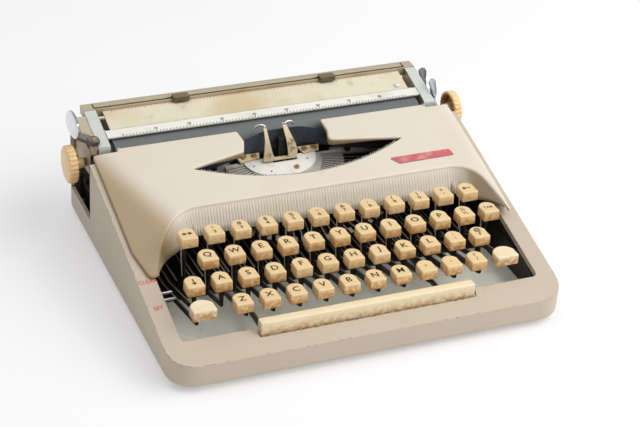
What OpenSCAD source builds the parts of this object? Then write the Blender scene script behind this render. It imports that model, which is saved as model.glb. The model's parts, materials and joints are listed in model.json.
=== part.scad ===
// Portable typewriter with a one-piece case, a hinged cover and a moving carriage.
// X runs to the right, Y from the typist to the back, Z up. The modules measure Y from the
// front edge of the case; machine() moves them to the middle of the footprint on the table.

/* [Case] */
// Width of the case over its side walls
case_w = 287; // [284:0.5:296]
// Depth of the case, front to back
case_d = 257; // [254:0.5:266]
// Plan radius of the case corners
case_r = 19; // [14:0.5:22]
// Thickness of the case walls
case_wall = 2.6; // [2:0.1:3.2]
// Thickness of the case floor
floor_t = 2; // [1.6:0.1:2.4]
// Height of the rim above the table at the front edge
rim_front_h = 21.1; // [20.8:0.1:23]
// Slope of the rim and the cover, front to back
rim_angle = 14.2; // [14:0.05:14.6]
// Thickness of the rim band
rim_t = 2.2; // [1.6:0.1:2.6]
// Width of the rim band at the sides
rim_band = 13; // [11:0.5:14]
// Width of the rim band at the front
rim_front_band = 17; // [14:0.5:18]
// Length of the gap in each side wall that the carriage runs through
gap_d = 50; // [50:0.5:52]
// Distance of that gap from the back of the case
gap_back = 18; // [17.5:0.1:18.5]
// Height of the wall left under the gap
gap_sill_h = 23; // [18:0.5:25]
// Height of the back wall
back_wall_h = 67; // [55:0.5:67]
// Height of the rubber feet
foot_h = 3; // [2:0.1:4]
// Diameter of the rubber feet
foot_dia = 14; // [10:0.5:18]

/* [Cover] */
// Thickness of the cover shell
cover_t = 2; // [1.6:0.1:2.2]
// Distance of the cover's side edges from the case sides
cover_inset = 4; // [3:0.1:5]
// Distance from the front of the case to the cover's front crease
crease_y = 126; // [124:0.5:128]
// Rise of the cover's middle above its side edges, at the crease
crown = 6; // [4:0.5:8]
// Width of the right fold, from the cover's edge to its ridge
right_fold_w = 4.5; // [4:0.5:6]
// Distance from the front of the case to the tips of the cover's cheeks
cheek_tip_y = 76; // [75:0.5:80]
// Width of the left cheek at the crease
left_cheek_w = 42; // [38:0.5:44]
// Width of the right cheek at the crease
right_cheek_w = 11; // [10:0.5:13]
// Width of a cheek at its tip
cheek_tip_w = 11; // [9:0.5:11.5]
// Rounding of the well where the crease meets the left cheek
left_well_r = 28; // [20:0.5:30]
// Rounding of the well where the crease meets the right cheek
right_well_r = 14; // [10:0.5:16]
// Height of the ribbed panel's lower edge above the table
panel_low_z = 41; // [39:0.1:42]
// Lean of the ribbed panel from upright
panel_lean = 15; // [10:0.5:18]
// Spacing of the ribs
rib_pitch = 2.4; // [2:0.1:3]
// Height of the ribs
rib_h = 0.6; // [0.4:0.05:0.9]
// Diameter of the pins that the cover turns on
cover_pin_dia = 3; // [2.5:0.1:3.4]

/* [Keyboard] */
// Spacing of the keys along a row
key_pitch = 19.05; // [18.8:0.05:19.2]
// Width of a keytop
key_w = 13; // [12:0.1:14]
// Depth of a keytop
key_d = 14; // [13:0.1:14.5]
// Height of a keytop
key_h = 8; // [6.5:0.1:8.5]
// Radius of the round back of a keytop
key_back_r = 7.2; // [7:0.1:8]
// Depth of the dish in a keytop
key_dish = 0.7; // [0.4:0.1:1]
// Width of a shift keytop
shift_w = 17.5; // [15:0.5:18.5]
// Thickness of a key lever
lever_t = 1.2; // [1:0.05:1.4]
// Height of a key lever
lever_h = 4.4; // [3.6:0.1:4.6]
// Diameter of the shaft that all key levers turn on
shaft_dia = 4; // [3.6:0.1:4.6]
// Length of the space bar
space_l = 156; // [146:1:158]
// Depth of the space bar
space_d = 7.5; // [6.5:0.1:8]
// Height of the space bar
space_h = 12; // [10:0.1:12.5]

/* [Type basket] */
// Number of typebars
bars = 42; // [30:1:42]
// Angle that the fan of typebars covers
fan_angle = 168; // [150:1:168]
// Distance of the type slugs in front of the cover's crease
slug_reach = 22; // [16:0.5:22]
// Radius of the wire that the typebars turn on
wire_r = 34; // [33:0.5:36]
// Diameter of that wire
wire_dia = 1.5; // [1.2:0.1:1.7]
// Outer radius of the slotted segment
segment_r = 46; // [44:0.5:48]
// Inner radius of the slotted segment
segment_bore_r = 18; // [16:0.5:20]
// Thickness of a typebar
bar_t = 1; // [0.8:0.05:1.1]
// Height of a typebar
bar_h = 3.5; // [3:0.1:4]
// Middle of the fan, to the right of the case's middle
basket_x = 4; // [2:0.5:5]
// Diameter of the rods that the basket drops along
rod_dia = 5; // [4:0.1:6]
// Radius of the ribbon spools
spool_r = 18.5; // [16:0.5:18.5]

/* [Carriage] */
// Distance from the platen's axis to the back of the case
platen_back = 46; // [45.7:0.1:46.3]
// Radius of the platen
platen_r = 13.5; // [12.5:0.1:13.6]
// Length of shaft from the platen's end to a knob's outer face
knob_reach = 36; // [35.5:0.5:40]
// Depth of the platen's axis below the rim's plane
platen_drop = 15.7; // [15.5:0.1:16.2]
// Diameter of the platen's shaft
platen_shaft_dia = 6; // [5:0.1:7]
// Radius of the platen knobs
knob_r = 13.9; // [12.5:0.1:13.9]
// Width of the platen knobs
knob_w = 7.5; // [6:0.1:8]
// Distance between the outer faces of the knobs
knob_span = 312; // [311:0.5:320]
// Thickness of the carriage end plates
end_t = 2; // [1.6:0.1:2.4]
// Width of the folded edge on the end plates
fold_w = 8; // [7:0.1:8.5]
// Radius of the return lever's disc
disc_r = 11.5; // [10:0.1:11.5]
// Width of the paper bail's scale strip
bail_w = 8; // [7:0.1:9]
// Radius of the feed roller
feed_r = 4.5; // [3.5:0.1:4.6]

/* [Fits] */
// Radial clearance of a pin or shaft that turns in a hole
run_fit = 0.05; // [0.03:0.01:0.08]
// Gap between faces that slide or close on each other
slide_gap = 0.2; // [0.15:0.05:0.3]

/* [Hidden] */
// Letter keys of the three lower rows, left to right
Q_LETTERS = ["q", "w", "e", "r", "t", "y", "u", "i", "o", "p"];
A_LETTERS = ["a", "s", "d", "f", "g", "h", "j", "k", "l"];
Z_LETTERS = ["z", "x", "c", "v", "b", "n", "m"];
$fn = 48;
tall = 120;

// Case, rim and frame
function rim_z(y) = rim_front_h + y * tan(rim_angle);
floor_z = foot_h + floor_t;
gap_y1 = case_d - gap_back;
gap_y0 = gap_y1 - gap_d;
well_half_w = case_w / 2 - rim_band;
plate_x = case_w / 2 - case_wall - 7.9;
plate_t = 2;
deck_t = 1;
deck_d = 60;

// Rows of keys, back to front: distance from the case's front, height of the keytops,
// X of the middle between the fifth and sixth key, and sidestep of the levers
NUMBER = 0;
UPPER = 1;
HOME = 2;
BOTTOM = 3;
row_y = [90, 70.9, 52.3, 33.6];
row_top_z = [64.6, 58.2, 51.5, 44.7];
row_mid_x = [0, -11, -7.9, 0.4];
lever_step = [-2.4, 0, 0, 2.4];
row_keys = 10;
function key_x(row, i) = row_mid_x[row] + (i - (row_keys - 1) / 2) * key_pitch;

// Key levers turn on one shaft at the back of the case and rise towards the keys
shaft_y = case_d - 21;
shaft_z = floor_z + 6;
lever_rise = 0.0445;
hub_r = 4.2;
stem_d = 6;
dish_over = 4;
function lever_z(y) = shaft_z + (shaft_y - y) * lever_rise;
shift_x = [-113, 108];
shift_lever_x = [-117.5, 115.5];
shift_bail_y = shaft_y - 14;
shift_bail_z = shaft_z + 13;
space_y = 15.3;
space_top_z = 34;
space_arm_y = 25.5;
space_arm_xs = [-71.8, 61.5];
tab_y = 74;
tab_z = 26.5;
tab_h = 3;
tab_slot = 30;
tab_l = 18;
comb_y = 160;
comb_t = 1.5;
comb_top_z = floor_z + 15;
comb_slot = lever_t + 0.8;
lever_xs = concat(
    [for (i = [-1:row_keys]) key_x(NUMBER, i) + lever_step[NUMBER]],
    [for (i = [0:row_keys]) key_x(UPPER, i) + lever_step[UPPER]],
    [key_x(UPPER, row_keys + 1) + lever_step[NUMBER]],
    [for (i = [-1:row_keys]) key_x(HOME, i) + lever_step[HOME]],
    [for (i = [0:row_keys - 1]) key_x(BOTTOM, i) + lever_step[BOTTOM]],
    shift_lever_x,
    space_arm_xs
);

// Carriage, on two rails across the frame
platen_l = knob_span - 2 * knob_reach;
platen_y = case_d - platen_back;
platen_z = rim_z(platen_y) - platen_drop;
rail_w = 5;
rail_h = 5;
feed_clear = 0.8;
feed_z = platen_z - platen_r - feed_r - 0.3;
bed_t = 2;
rail_z = feed_z - feed_r - feed_clear - bed_t - slide_gap - rail_h;
rail_ys = [platen_y - 5, platen_y + 21];
bed_z = rail_z + rail_h + slide_gap;
lip_t = 1.5;
lip_out = (rail_w + lip_t) / 2 + slide_gap;
end_x = platen_l / 2 + 4.5;
end_front_y = platen_y - 8;
back_bar_y = case_d - 15;
back_bar_d = 10;
back_bar_h = 6.5;
housing_x = end_x + 15.5;
housing_t = 1.4;
end_back_y = gap_y1 - 1.5;
fold_t = 1.5;
lever_pivot = [-(housing_x - 4), platen_y - 5];
release_t = 2.5;
release_tip_w = 8;
release_x = end_x + fold_w + 0.7;
paper_pivot = [platen_y + 17, platen_z + 8];
paper_tip = [platen_y + 25, rim_z(platen_y) + 9];
carriage_pivot = [platen_y - 6, platen_z + 6];
carriage_tip = [platen_y + 5, rim_z(platen_y) + 8];
pin_dia = 3;
pivot_dia = 4;
boss_h = 5;
boss_dia = 6;
boss_z = rim_z(lever_pivot[1]) - boss_h;
hub_z = boss_z + boss_h + 2.5;
back_bar_z = rim_z(back_bar_y) - back_bar_h + 0.5;
rail_wall = 1.2;
margin_x = 58.5;
margin_w = 12;
margin_out = 3;
margin_over = 2.4;
bail_pivot = [platen_y + 15, platen_z + 11.5];

// Cover and its hinge. Its top is three planes: the middle, a gentle left fold and a steep right one
cover_half_w = case_w / 2 - cover_inset;
edge_lift = slide_gap + cover_t;
set_back = 0.3;
left_tip = [-cover_half_w + cheek_tip_w, cheek_tip_y + 4];
right_tip = [cover_half_w - cheek_tip_w, cheek_tip_y + 4];
left_corner = [-cover_half_w + left_cheek_w, crease_y];
right_corner = [cover_half_w - right_cheek_w, crease_y];
left_turn = atan2(crease_y - left_tip[1], left_corner[0] - left_tip[0]);
right_turn = atan2(crease_y - right_tip[1], right_tip[0] - right_corner[0]);
left_well_c = [left_corner[0] + left_well_r * tan(left_turn / 2), crease_y - left_well_r];
right_well_c = [right_corner[0] - right_well_r * tan(right_turn / 2), crease_y - right_well_r];
hinge_y = platen_y - platen_r;
hinge_z = rim_z(hinge_y) - 3.2;
cover_rear_y = hinge_y + 1;
cover_corner_y = hinge_y - 2.2;
hinge_x = plate_x - 25;
ear_t = 4;
ear_r = 2.6;
cross_y = platen_y - knob_r - 0.7;
cross_t = 2;
cross_z = floor_z + 14;
cross_h = 15;
ear_post = 5;
ear_w = 3;

// Type basket, parallel to the rim
basket_y = platen_y - 21;
basket_drop = 19.2;
basket_z = rim_z(basket_y) - basket_drop;
slug_r = basket_y - crease_y + slug_reach;
bar_inner_r = wire_r - 4;
slot_w = bar_t + 0.3;
bar_low = -bar_h;
slug_w = 3.2;
slug_d = 5;
slug_h = 5.4;
rod_out = segment_r + 7;
rod_y = basket_y + 2.5;
rod_z = cross_z + 4;
rod_h = basket_z - rod_z + 7;
bracket_t = 3;
spool_x = case_w / 2 - 30;
spool_y = basket_y - 30;
spool_drop = 22.6;
spool_z = rim_z(spool_y) - spool_drop;
shelf_x = spool_x - spool_r;
shelf_t = 1.5;
shelf_z = spool_z - slide_gap - shelf_t;
spindle_over = 3;
guide_over = 5.5;
spindle_dia = 4;
ribbon_w = 12.7;
ribbon_t = 0.4;
flange_t = 0.8;
spool_room = ribbon_w + 1.2;
packs = [13, 11];
guide_x = spool_x + 5.5;
guide_y = basket_y - 5.5;
guide_dia = 3;
column_w = 8;
column_d = 5;
column_y = basket_y - 1;
column_h = basket_z - cross_z + 17;
clip_z = basket_z - 6;
arm_h = 31;

// Window over the type basket, measured from the middle of the fan
window_tips = [-79.5, 84.5];
window_tip_y = basket_y - 24;
window_strip = 17.5;
window_bow = window_tip_y - crease_y - window_strip;
wing_gap = [-34, 30];
wing_y = basket_y - 14;
wing_tip_y = window_tip_y + 0.6;
wing_t = 1.5;
wing_drop = [9, 4];

PAINT = "#d9cdb8";
CREAM = "#efd9aa";
STEEL = "#b9bcc0";
BLACK = "#26272a";

// Everything is drawn with Y from the case's front edge and moved to the middle of the footprint
module machine() {
    translate([0, -case_d / 2, 0])
        children();
}

// The rim's plane, met at distance y from the front
module on_rim(y) {
    translate([0, y, rim_z(y)])
        rotate([rim_angle, 0, 0])
            children();
}

// An outline in Y and Z, given a thickness to the right of x
module upright(x, t) {
    translate([x, 0, 0])
        rotate([90, 0, 90])
            linear_extrude(t)
                children();
}

// A round bar along X
module along_x(x0, x1, y, z, d) {
    translate([x0, y, z])
        rotate([0, 90, 0])
            cylinder(h = x1 - x0, d = d);
}

// Points of an arc from angle a0 to a1 in n steps
function arc(c, r, a0, a1, n) =
    [for (i = [0:n]) let (a = a0 + (a1 - a0) * i / n) [c[0] + r * cos(a), c[1] + r * sin(a)]];

module rounded_rect(w, d, r) {
    square([w - 2 * r, d], center = true);
    square([w, d - 2 * r], center = true);
    for (sx = [-1, 1], sy = [-1, 1])
        translate([sx * (w / 2 - r), sy * (d / 2 - r)])
            circle(r);
}

module case_prism(inset, z) {
    translate([0, case_d / 2, z])
        linear_extrude(tall)
            rounded_rect(case_w - 2 * inset, case_d - 2 * inset, case_r - inset);
}

module above_rim(drop) {
    on_rim(0)
        translate([-case_w, -case_d, -drop])
            cube([2 * case_w, 3 * case_d, 2 * tall]);
}

module lower_case() {
    color(PAINT)
        machine()
            difference() {
                case_prism(0, foot_h);
                above_rim(0);
                difference() {
                    case_prism(case_wall, floor_z);
                    above_rim(rim_t);
                }
                // The well for the keyboard and the works
                translate([-well_half_w, rim_front_band, floor_z])
                    cube([2 * well_half_w, case_d - rim_front_band - case_wall, tall]);
                // The notch that the space bar drops into
                translate([-space_l / 2 - 1.5, space_y - 1.2, floor_z])
                    cube([space_l + 3, rim_front_band, tall]);
                // The gaps in the side walls for the carriage
                translate([-case_w, gap_y0, gap_sill_h])
                    cube([2 * case_w, gap_d, tall]);
                translate([-case_w, gap_y1 - 1, back_wall_h])
                    cube([2 * case_w, case_d, tall]);
            }
}

module rubber_feet() {
    color(BLACK)
        machine()
            for (sx = [-1, 1], y = [case_r, case_d - case_r])
                translate([sx * (case_w / 2 - case_r), y, 0])
                    cylinder(h = foot_h, d = foot_dia);
}

module side_plate_outline() {
    difference() {
        polygon([
            [28, floor_z], [shaft_y + 8, floor_z], [shaft_y + 8, rail_z + 1], [cross_y + 1, rail_z + 1],
            [cross_y + 1, 42], [spool_y - 22, 40], [100, 34], [56, 30], [28, 16]
        ]);
        translate([shaft_y, shaft_z])
            circle(d = shaft_dia + 2 * run_fit);
        // Slot that the tabulator slide runs in
        translate([tab_y - tab_slot / 2, tab_z - tab_h / 2])
            square([tab_slot, tab_h]);
    }
}

// Ear that the cover's pin turns in, on a post of the cross plate
module hinge_ear() {
    difference() {
        union() {
            translate([hinge_y, hinge_z])
                circle(ear_r);
            polygon([
                [cross_y - ear_post, cross_z], [cross_y, cross_z], [cross_y, hinge_z - ear_post],
                [hinge_y + ear_r * 0.7, hinge_z - 1], [hinge_y - ear_r * 0.7, hinge_z + 1],
                [cross_y - ear_post, hinge_z - ear_post]
            ]);
        }
        translate([hinge_y, hinge_z])
            circle(d = cover_pin_dia + 2 * run_fit);
    }
}

module comb() {
    difference() {
        translate([-plate_x, comb_y, floor_z])
            cube([2 * plate_x, comb_t, comb_top_z - floor_z]);
        for (x = lever_xs)
            translate([x - comb_slot / 2, comb_y - 1, floor_z + 1.5])
                cube([comb_slot, comb_t + 2, comb_top_z]);
    }
}

module chassis_frame() {
    color(BLACK)
        machine() {
            upright(-plate_x - plate_t, plate_t)
                side_plate_outline();
            upright(plate_x, plate_t)
                side_plate_outline();
            comb();
            // Cross plate behind the type basket, with the basket's guide rods and the cover's ears
            translate([-plate_x - plate_t, cross_y - cross_t, cross_z])
                cube([2 * (plate_x + plate_t), cross_t, cross_h]);
            for (s = [-1, 1]) {
                upright(s * hinge_x - ear_t / 2, ear_t)
                    hinge_ear();
                translate([basket_x + s * rod_out - rod_dia, rod_y - rod_dia, rod_z])
                    cube([2 * rod_dia, cross_y - rod_y + rod_dia, bracket_t]);
                translate([basket_x + s * rod_out, rod_y, rod_z])
                    cylinder(h = rod_h, d = rod_dia);
                translate([s > 0 ? shelf_x : -plate_x, spool_y - spool_r - shelf_t, shelf_z])
                    cube([plate_x - shelf_x, cross_y - spool_y + spool_r + shelf_t, shelf_t]);
                translate([s * spool_x, spool_y, shelf_z])
                    cylinder(h = ribbon_w + spindle_over, d = spindle_dia);
                translate([s * guide_x, guide_y, shelf_z])
                    cylinder(h = ribbon_w + guide_over, d = guide_dia);
            }
            // Column that guides the ribbon vibrator and the striking type
            translate([basket_x - column_w / 2, column_y, cross_z])
                cube([column_w, column_d, column_h]);
            translate([basket_x - column_w / 2, column_y, cross_z])
                cube([column_w, cross_y - column_y, cross_h]);
            for (y = rail_ys)
                translate([-plate_x - plate_t, y - rail_w / 2, rail_z])
                    cube([2 * (plate_x + plate_t), rail_w, rail_h]);
        }
}

module keyboard_deck() {
    color("#c3cbbe")
        machine()
            translate([-plate_x + slide_gap, case_wall + case_r, floor_z])
                cube([2 * (plate_x - slide_gap), deck_d, deck_t]);
}

module key_pivot_shaft() {
    color(STEEL)
        machine()
            along_x(-plate_x - plate_t - 1, plate_x + plate_t + 1, shaft_y, shaft_z, shaft_dia);
}

module keytop_outline(w) {
    r = key_back_r * w / key_w;
    intersection() {
        square([w, key_d], center = true);
        union() {
            translate([0, key_d / 2 - r])
                circle(r);
            translate([-w, -key_d])
                square([2 * w, 1.5 * key_d - r]);
        }
    }
}

module keytop(x, y, top_z, w) {
    dish_chord = key_d + dish_over;
    dish_r = dish_chord * dish_chord / (8 * key_dish) + key_dish / 2;
    difference() {
        translate([x, y, top_z - key_h])
            linear_extrude(key_h)
                keytop_outline(w);
        along_x(x - w, x + w, y, top_z + dish_r - key_dish, 2 * dish_r);
    }
}

// Arm from the pivot shaft to distance y, with a hub round the shaft
module lever_outline(y) {
    difference() {
        union() {
            polygon([
                [shaft_y, shaft_z - lever_h / 2], [shaft_y, shaft_z + lever_h / 2],
                [y, lever_z(y) + lever_h / 2], [y, lever_z(y) - lever_h / 2]
            ]);
            translate([shaft_y, shaft_z])
                circle(hub_r);
        }
        translate([shaft_y, shaft_z])
            circle(d = shaft_dia + 2 * run_fit);
    }
}

module key_lever(x, y, seat_z) {
    upright(x - lever_t / 2, lever_t)
        lever_outline(y - stem_d / 2);
    translate([x - lever_t / 2, y - stem_d / 2, lever_z(y)])
        cube([lever_t, stem_d, seat_z - lever_z(y) + 0.5]);
}

// One key of a row, with the lever that it stands on
module key(row, i, step = undef) {
    x = key_x(row, i);
    side = is_undef(step) ? lever_step[row] : step;
    keytop(x, row_y[row], row_top_z[row], key_w);
    key_lever(x + side, row_y[row], row_top_z[row] - key_h);
}

module keys(row, from, to) {
    color(CREAM)
        machine()
            for (i = [from:to])
                key(row, i);
}

module tab_key() {
    color(CREAM)
        machine()
            key(UPPER, row_keys + 1, lever_step[NUMBER]);
}

// Both shift keys, joined by a bail over the key levers
module shift_keys() {
    color(CREAM)
        machine() {
            for (s = [0, 1]) {
                keytop(shift_x[s], row_y[BOTTOM], row_top_z[BOTTOM], shift_w);
                key_lever(shift_lever_x[s], row_y[BOTTOM], row_top_z[BOTTOM] - key_h);
                translate([shift_lever_x[s] - lever_t / 2, shift_bail_y - 3, lever_z(shift_bail_y)])
                    cube([lever_t, 6, shift_bail_z - shaft_z + 1]);
            }
            along_x(shift_lever_x[0], shift_lever_x[1], shift_bail_y, shift_bail_z, 3);
        }
}

module space_bar() {
    r = 1.5;
    color(CREAM)
        machine() {
            upright(-space_l / 2, space_l)
                polygon(concat(
                    [[space_y, space_top_z - space_h], [space_y + space_d, space_top_z - space_h]],
                    arc([space_y + space_d - r, space_top_z - r], r, 0, 90, 4),
                    arc([space_y + r, space_top_z - r], r, 90, 180, 4)
                ));
            for (x = space_arm_xs) {
                upright(x - 1, 2)
                    polygon([
                        [space_y + 2, space_top_z - space_h + 2],
                        [space_y + space_d - 1, space_top_z - space_h + 2],
                        [space_arm_y + 1.5, lever_z(space_arm_y)], [space_arm_y, lever_z(space_arm_y) - 1.5],
                        [space_y + 4, space_top_z - space_h - 1]
                    ]);
                upright(x - lever_t / 2, lever_t)
                    lever_outline(space_arm_y);
            }
        }
}

// Edge of the keyboard well from the left cheek's tip to the right one's, moved out by d
function well_edge(d) = concat(
    [left_tip + d * [-sin(left_turn), cos(left_turn)]],
    arc(left_well_c, left_well_r + d, 90 + left_turn, 90, 8),
    arc(right_well_c, right_well_r + d, 90, 90 - right_turn, 8),
    [right_tip + d * [sin(right_turn), cos(right_turn)]]
);

// Plan of the cover: two cheeks beside the keyboard well, rear corners cut back for the carriage
module cover_plan() {
    w = cover_half_w;
    corner_x = platen_l / 2 + 1;
    polygon(concat(
        [[-w, cover_corner_y], [-w, cheek_tip_y + 24], [-w + cheek_tip_w / 2, cheek_tip_y + 4]],
        arc([left_tip[0] - 3, cheek_tip_y + 3], 3, 225, 300, 4),
        well_edge(0),
        arc([right_tip[0] + 3, cheek_tip_y + 3], 3, 240, 315, 4),
        [[w - cheek_tip_w / 2, cheek_tip_y + 4], [w, cheek_tip_y + 24]],
        [[w, cover_corner_y], [corner_x, cover_corner_y], [corner_x, cover_rear_y]],
        [[-corner_x, cover_rear_y], [-corner_x, cover_corner_y]]
    ));
}

// Window over the type basket: a bowed front edge and a gap between two wings at the back
module window_plan() {
    half = (window_tips[1] - window_tips[0]) / 2;
    mid = basket_x + (window_tips[1] + window_tips[0]) / 2;
    r = (half * half + window_bow * window_bow) / (2 * window_bow);
    a = asin(half / r);
    polygon(concat(
        arc([mid, window_tip_y - window_bow + r], r, 270 - a, 270 + a, 24),
        [[basket_x + wing_gap[1], wing_y], [basket_x + wing_gap[1] + 3, wing_y + 10]],
        [[basket_x + wing_gap[1] + 2, cover_rear_y + 1], [basket_x + wing_gap[0] - 2, cover_rear_y + 1]],
        [[basket_x + wing_gap[0] + 2, wing_y + 10], [basket_x + wing_gap[0], wing_y]]
    ));
}

// A turned-down edge between two plan points, to the right of the line from p to q
module wing_edge(p, q, drops) {
    l = norm(q - p);
    translate([p[0], p[1], 0])
        rotate([90, 0, atan2(q[1] - p[1], q[0] - p[0])])
            translate([0, 0, set_back])
                linear_extrude(wing_t)
                    polygon([
                        [set_back, rim_z(wing_y) - drops[0]], [l - set_back, rim_z(wing_y) - drops[1]],
                        [l - set_back, tall], [set_back, tall]
                    ]);
}

// Knuckle on one side of the cover's hinge
module cover_knuckle(s) {
    upright(s * (hinge_x + (ear_t + ear_w) / 2 + slide_gap) - ear_w / 2, ear_w)
        union() {
            translate([hinge_y, hinge_z])
                circle(ear_r);
            translate([hinge_y - ear_r, hinge_z])
                square([ear_r * 1.2, tall]);
        }
}

// Everything below a plane through point p that rises by slope[0] along X and slope[1] along Y
module below(p, slope) {
    turn_y = -atan(slope[0]);
    translate(p)
        rotate([atan(slope[1] * cos(turn_y)), turn_y, 0])
            translate([-case_w, -case_d, -2 * tall])
                cube([2 * case_w, 2 * case_d, 2 * tall]);
}

// Space under the cover's three planes, lowered by drop
module under_cover(drop) {
    rise = tan(rim_angle);
    fall = crown / (cover_rear_y - crease_y);
    z = rim_z(cover_rear_y) + edge_lift - drop;
    intersection() {
        below([0, cover_rear_y, z], [0, rise - fall]);
        below([-cover_half_w, cover_rear_y, z], [crown / left_cheek_w, rise]);
        below([cover_half_w, cover_rear_y, z], [-crown / right_fold_w, rise]);
    }
}

module cover_shell() {
    difference() {
        intersection() {
            linear_extrude(tall)
                difference() {
                    cover_plan();
                    window_plan();
                }
            under_cover(0);
        }
        under_cover(cover_t);
    }
}

// Ribbed panel that drops from the crease to the key levers
module ribbed_panel() {
    x0 = left_well_c[0] - set_back;
    x1 = right_well_c[0] + set_back;
    n = floor((x1 - x0) / rib_pitch);
    top_z = rim_z(crease_y) + edge_lift + crown;
    l = (top_z - panel_low_z) / cos(panel_lean);
    translate([0, crease_y + 1 - l * sin(panel_lean), panel_low_z])
        rotate([-panel_lean, 0, 0])
            linear_extrude(l)
                polygon(concat(
                    [[x1, 0], [x1, cover_t], [x0, cover_t], [x0, 0]],
                    [for (i = [0:n - 1], c = [[0.25, 0], [0.25, 1], [0.75, 1], [0.75, 0]])
                        [x0 + (i + c[0]) * rib_pitch, -c[1] * rib_h]]
                ));
}

// Walls of the well under both cheeks, down to a line from the ribbed panel to the tips
module well_walls() {
    inner = well_edge(set_back);
    outer = well_edge(cover_t);
    n = len(inner);
    fall = (panel_low_z - rim_z(cheek_tip_y) - slide_gap) / (crease_y - cheek_tip_y);
    difference() {
        linear_extrude(tall)
            polygon(concat(inner, [for (i = [n - 1:-1:0]) outer[i]]));
        below([0, crease_y, panel_low_z + set_back], [0, fall]);
        // The straight part is the ribbed panel's
        translate([left_well_c[0] + 1, crease_y - 1, 0])
            cube([right_well_c[0] - left_well_c[0] - 2, cover_t + 2, tall]);
    }
}

module top_cover() {
    color(PAINT)
        machine() {
            cover_shell();
            intersection() {
                union() {
                    ribbed_panel();
                    well_walls();
                    // Turned-down edges of the two wings
                    wing_edge([basket_x + wing_gap[0], wing_y], [basket_x + window_tips[0] + 6, wing_tip_y],
                        wing_drop);
                    wing_edge([basket_x + window_tips[1] - 6, wing_tip_y], [basket_x + wing_gap[1], wing_y],
                        [wing_drop[1], wing_drop[0]]);
                    for (s = [-1, 1])
                        cover_knuckle(s);
                }
                under_cover(cover_t / 2);
            }
            for (s = [-1, 1]) {
                x = s * (hinge_x + (ear_t + ear_w) / 2 + slide_gap);
                pin_x = s * (hinge_x - ear_t / 2);
                along_x(min(pin_x, x), max(pin_x, x), hinge_y, hinge_z, cover_pin_dia);
            }
        }
}

// Frame of the type basket: origin in the middle of the fan, bars towards -Y
module basket() {
    translate([basket_x, basket_y, basket_z])
        rotate([rim_angle, 0, 0])
            children();
}

module fan() {
    for (i = [0:bars - 1])
        rotate([0, 0, -fan_angle / 2 + fan_angle * i / (bars - 1)])
            children();
}

module type_segment() {
    color(STEEL)
        machine()
            difference() {
                union() {
                    basket() {
                        difference() {
                            translate([0, 0, bar_low - 4])
                                cylinder(h = bar_h + 5, r = segment_r);
                            translate([0, 0, bar_low - 5])
                                cylinder(h = bar_h + 9, r = segment_bore_r);
                            translate([-segment_r - 1, 0, bar_low - 5])
                                cube([2 * segment_r + 2, segment_r + 1, bar_h + 9]);
                            fan()
                                translate([-slot_w / 2, -segment_r - 1, bar_low - 1])
                                    cube([slot_w, segment_r + 2 - bar_inner_r, bar_h + 9]);
                        }
                        rotate([0, 0, 180])
                            rotate_extrude(angle = 180)
                                translate([wire_r, bar_low + bar_h / 2])
                                    circle(d = wire_dia);
                        for (s = [-1, 1])
                            translate([s * (segment_r + 3) - 9, -1.5, bar_low - 4])
                                cube([18, 8, 5]);
                    }
                }
                for (s = [-1, 1])
                    translate([basket_x + s * rod_out, rod_y, floor_z])
                        cylinder(h = tall, d = rod_dia + 2 * run_fit);
            }
}

module typebars() {
    color(STEEL)
        machine()
            basket()
                fan()
                    difference() {
                        union() {
                            translate([-bar_t / 2, -slug_r, bar_low])
                                cube([bar_t, slug_r - bar_inner_r - 0.3, bar_h]);
                            translate([-slug_w / 2, -slug_r - slug_d / 2, bar_low + 0.5])
                                cube([slug_w, slug_d, slug_h]);
                        }
                        along_x(-bar_t, bar_t, -wire_r, bar_low + bar_h / 2, wire_dia + 2 * run_fit);
                    }
}

// Two arms that carry the ribbon up to the platen, on a clip round the guide column
module ribbon_vibrator() {
    inner = column_w / 2 + slide_gap + 0.1;
    color("#d8c7a4")
        machine()
            translate([basket_x, column_y, clip_z]) {
                translate([-inner - 1.5, -slide_gap - 1.6, 0])
                    cube([2 * inner + 3, 1.5, 8]);
                for (s = [-1, 1])
                    mirror([s > 0 ? 0 : 1, 0, 0]) {
                        translate([inner, -slide_gap - 1.6, 0])
                            cube([1.5, column_d + slide_gap + 1, 8]);
                        upright(inner, 3.5)
                            polygon([
                                [column_d - 2, 0], [column_d - 0.5, 0], [column_d - 0.5, arm_h - 3],
                                [column_d - 2.5, arm_h], [column_d - 4, arm_h - 1], [column_d - 2, arm_h - 4]
                            ]);
                    }
            }
}

module spool(s, pack_r) {
    color(STEEL)
        machine()
            translate([s * spool_x, spool_y, spool_z])
                difference() {
                    union() {
                        cylinder(h = flange_t, r = spool_r);
                        cylinder(h = spool_room + 2 * flange_t, r = pack_r);
                        translate([0, 0, spool_room + flange_t])
                            cylinder(h = flange_t, r = spool_r);
                    }
                    translate([0, 0, -1])
                        cylinder(h = tall, d = spindle_dia + 2 * run_fit);
                    for (a = [0:60:300], z = [-1, spool_room + flange_t - 0.01])
                        rotate([0, 0, a])
                            translate([spool_r - 3, 0, z])
                                cylinder(h = flange_t + 1.01, d = 2.6);
                }
}

// Corners of the ribbon's path: X, Y and height of its lower edge
function ribbon_path(s, pack_r) = [
    [s * (spool_x + pack_r + 1.2), spool_y, spool_z + flange_t + 0.5],
    [s * (guide_x + guide_dia / 2 + 1), guide_y + guide_dia / 2, spool_z + flange_t + 0.6],
    [basket_x + s * (segment_r + 1), basket_y - 2.6, basket_z + 3],
    [basket_x + s * 14, column_y + column_d + 1, basket_z + 9.5]
];

module ribbon_edge(p) {
    translate(p)
        cube([ribbon_t, ribbon_t, ribbon_w]);
}

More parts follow.
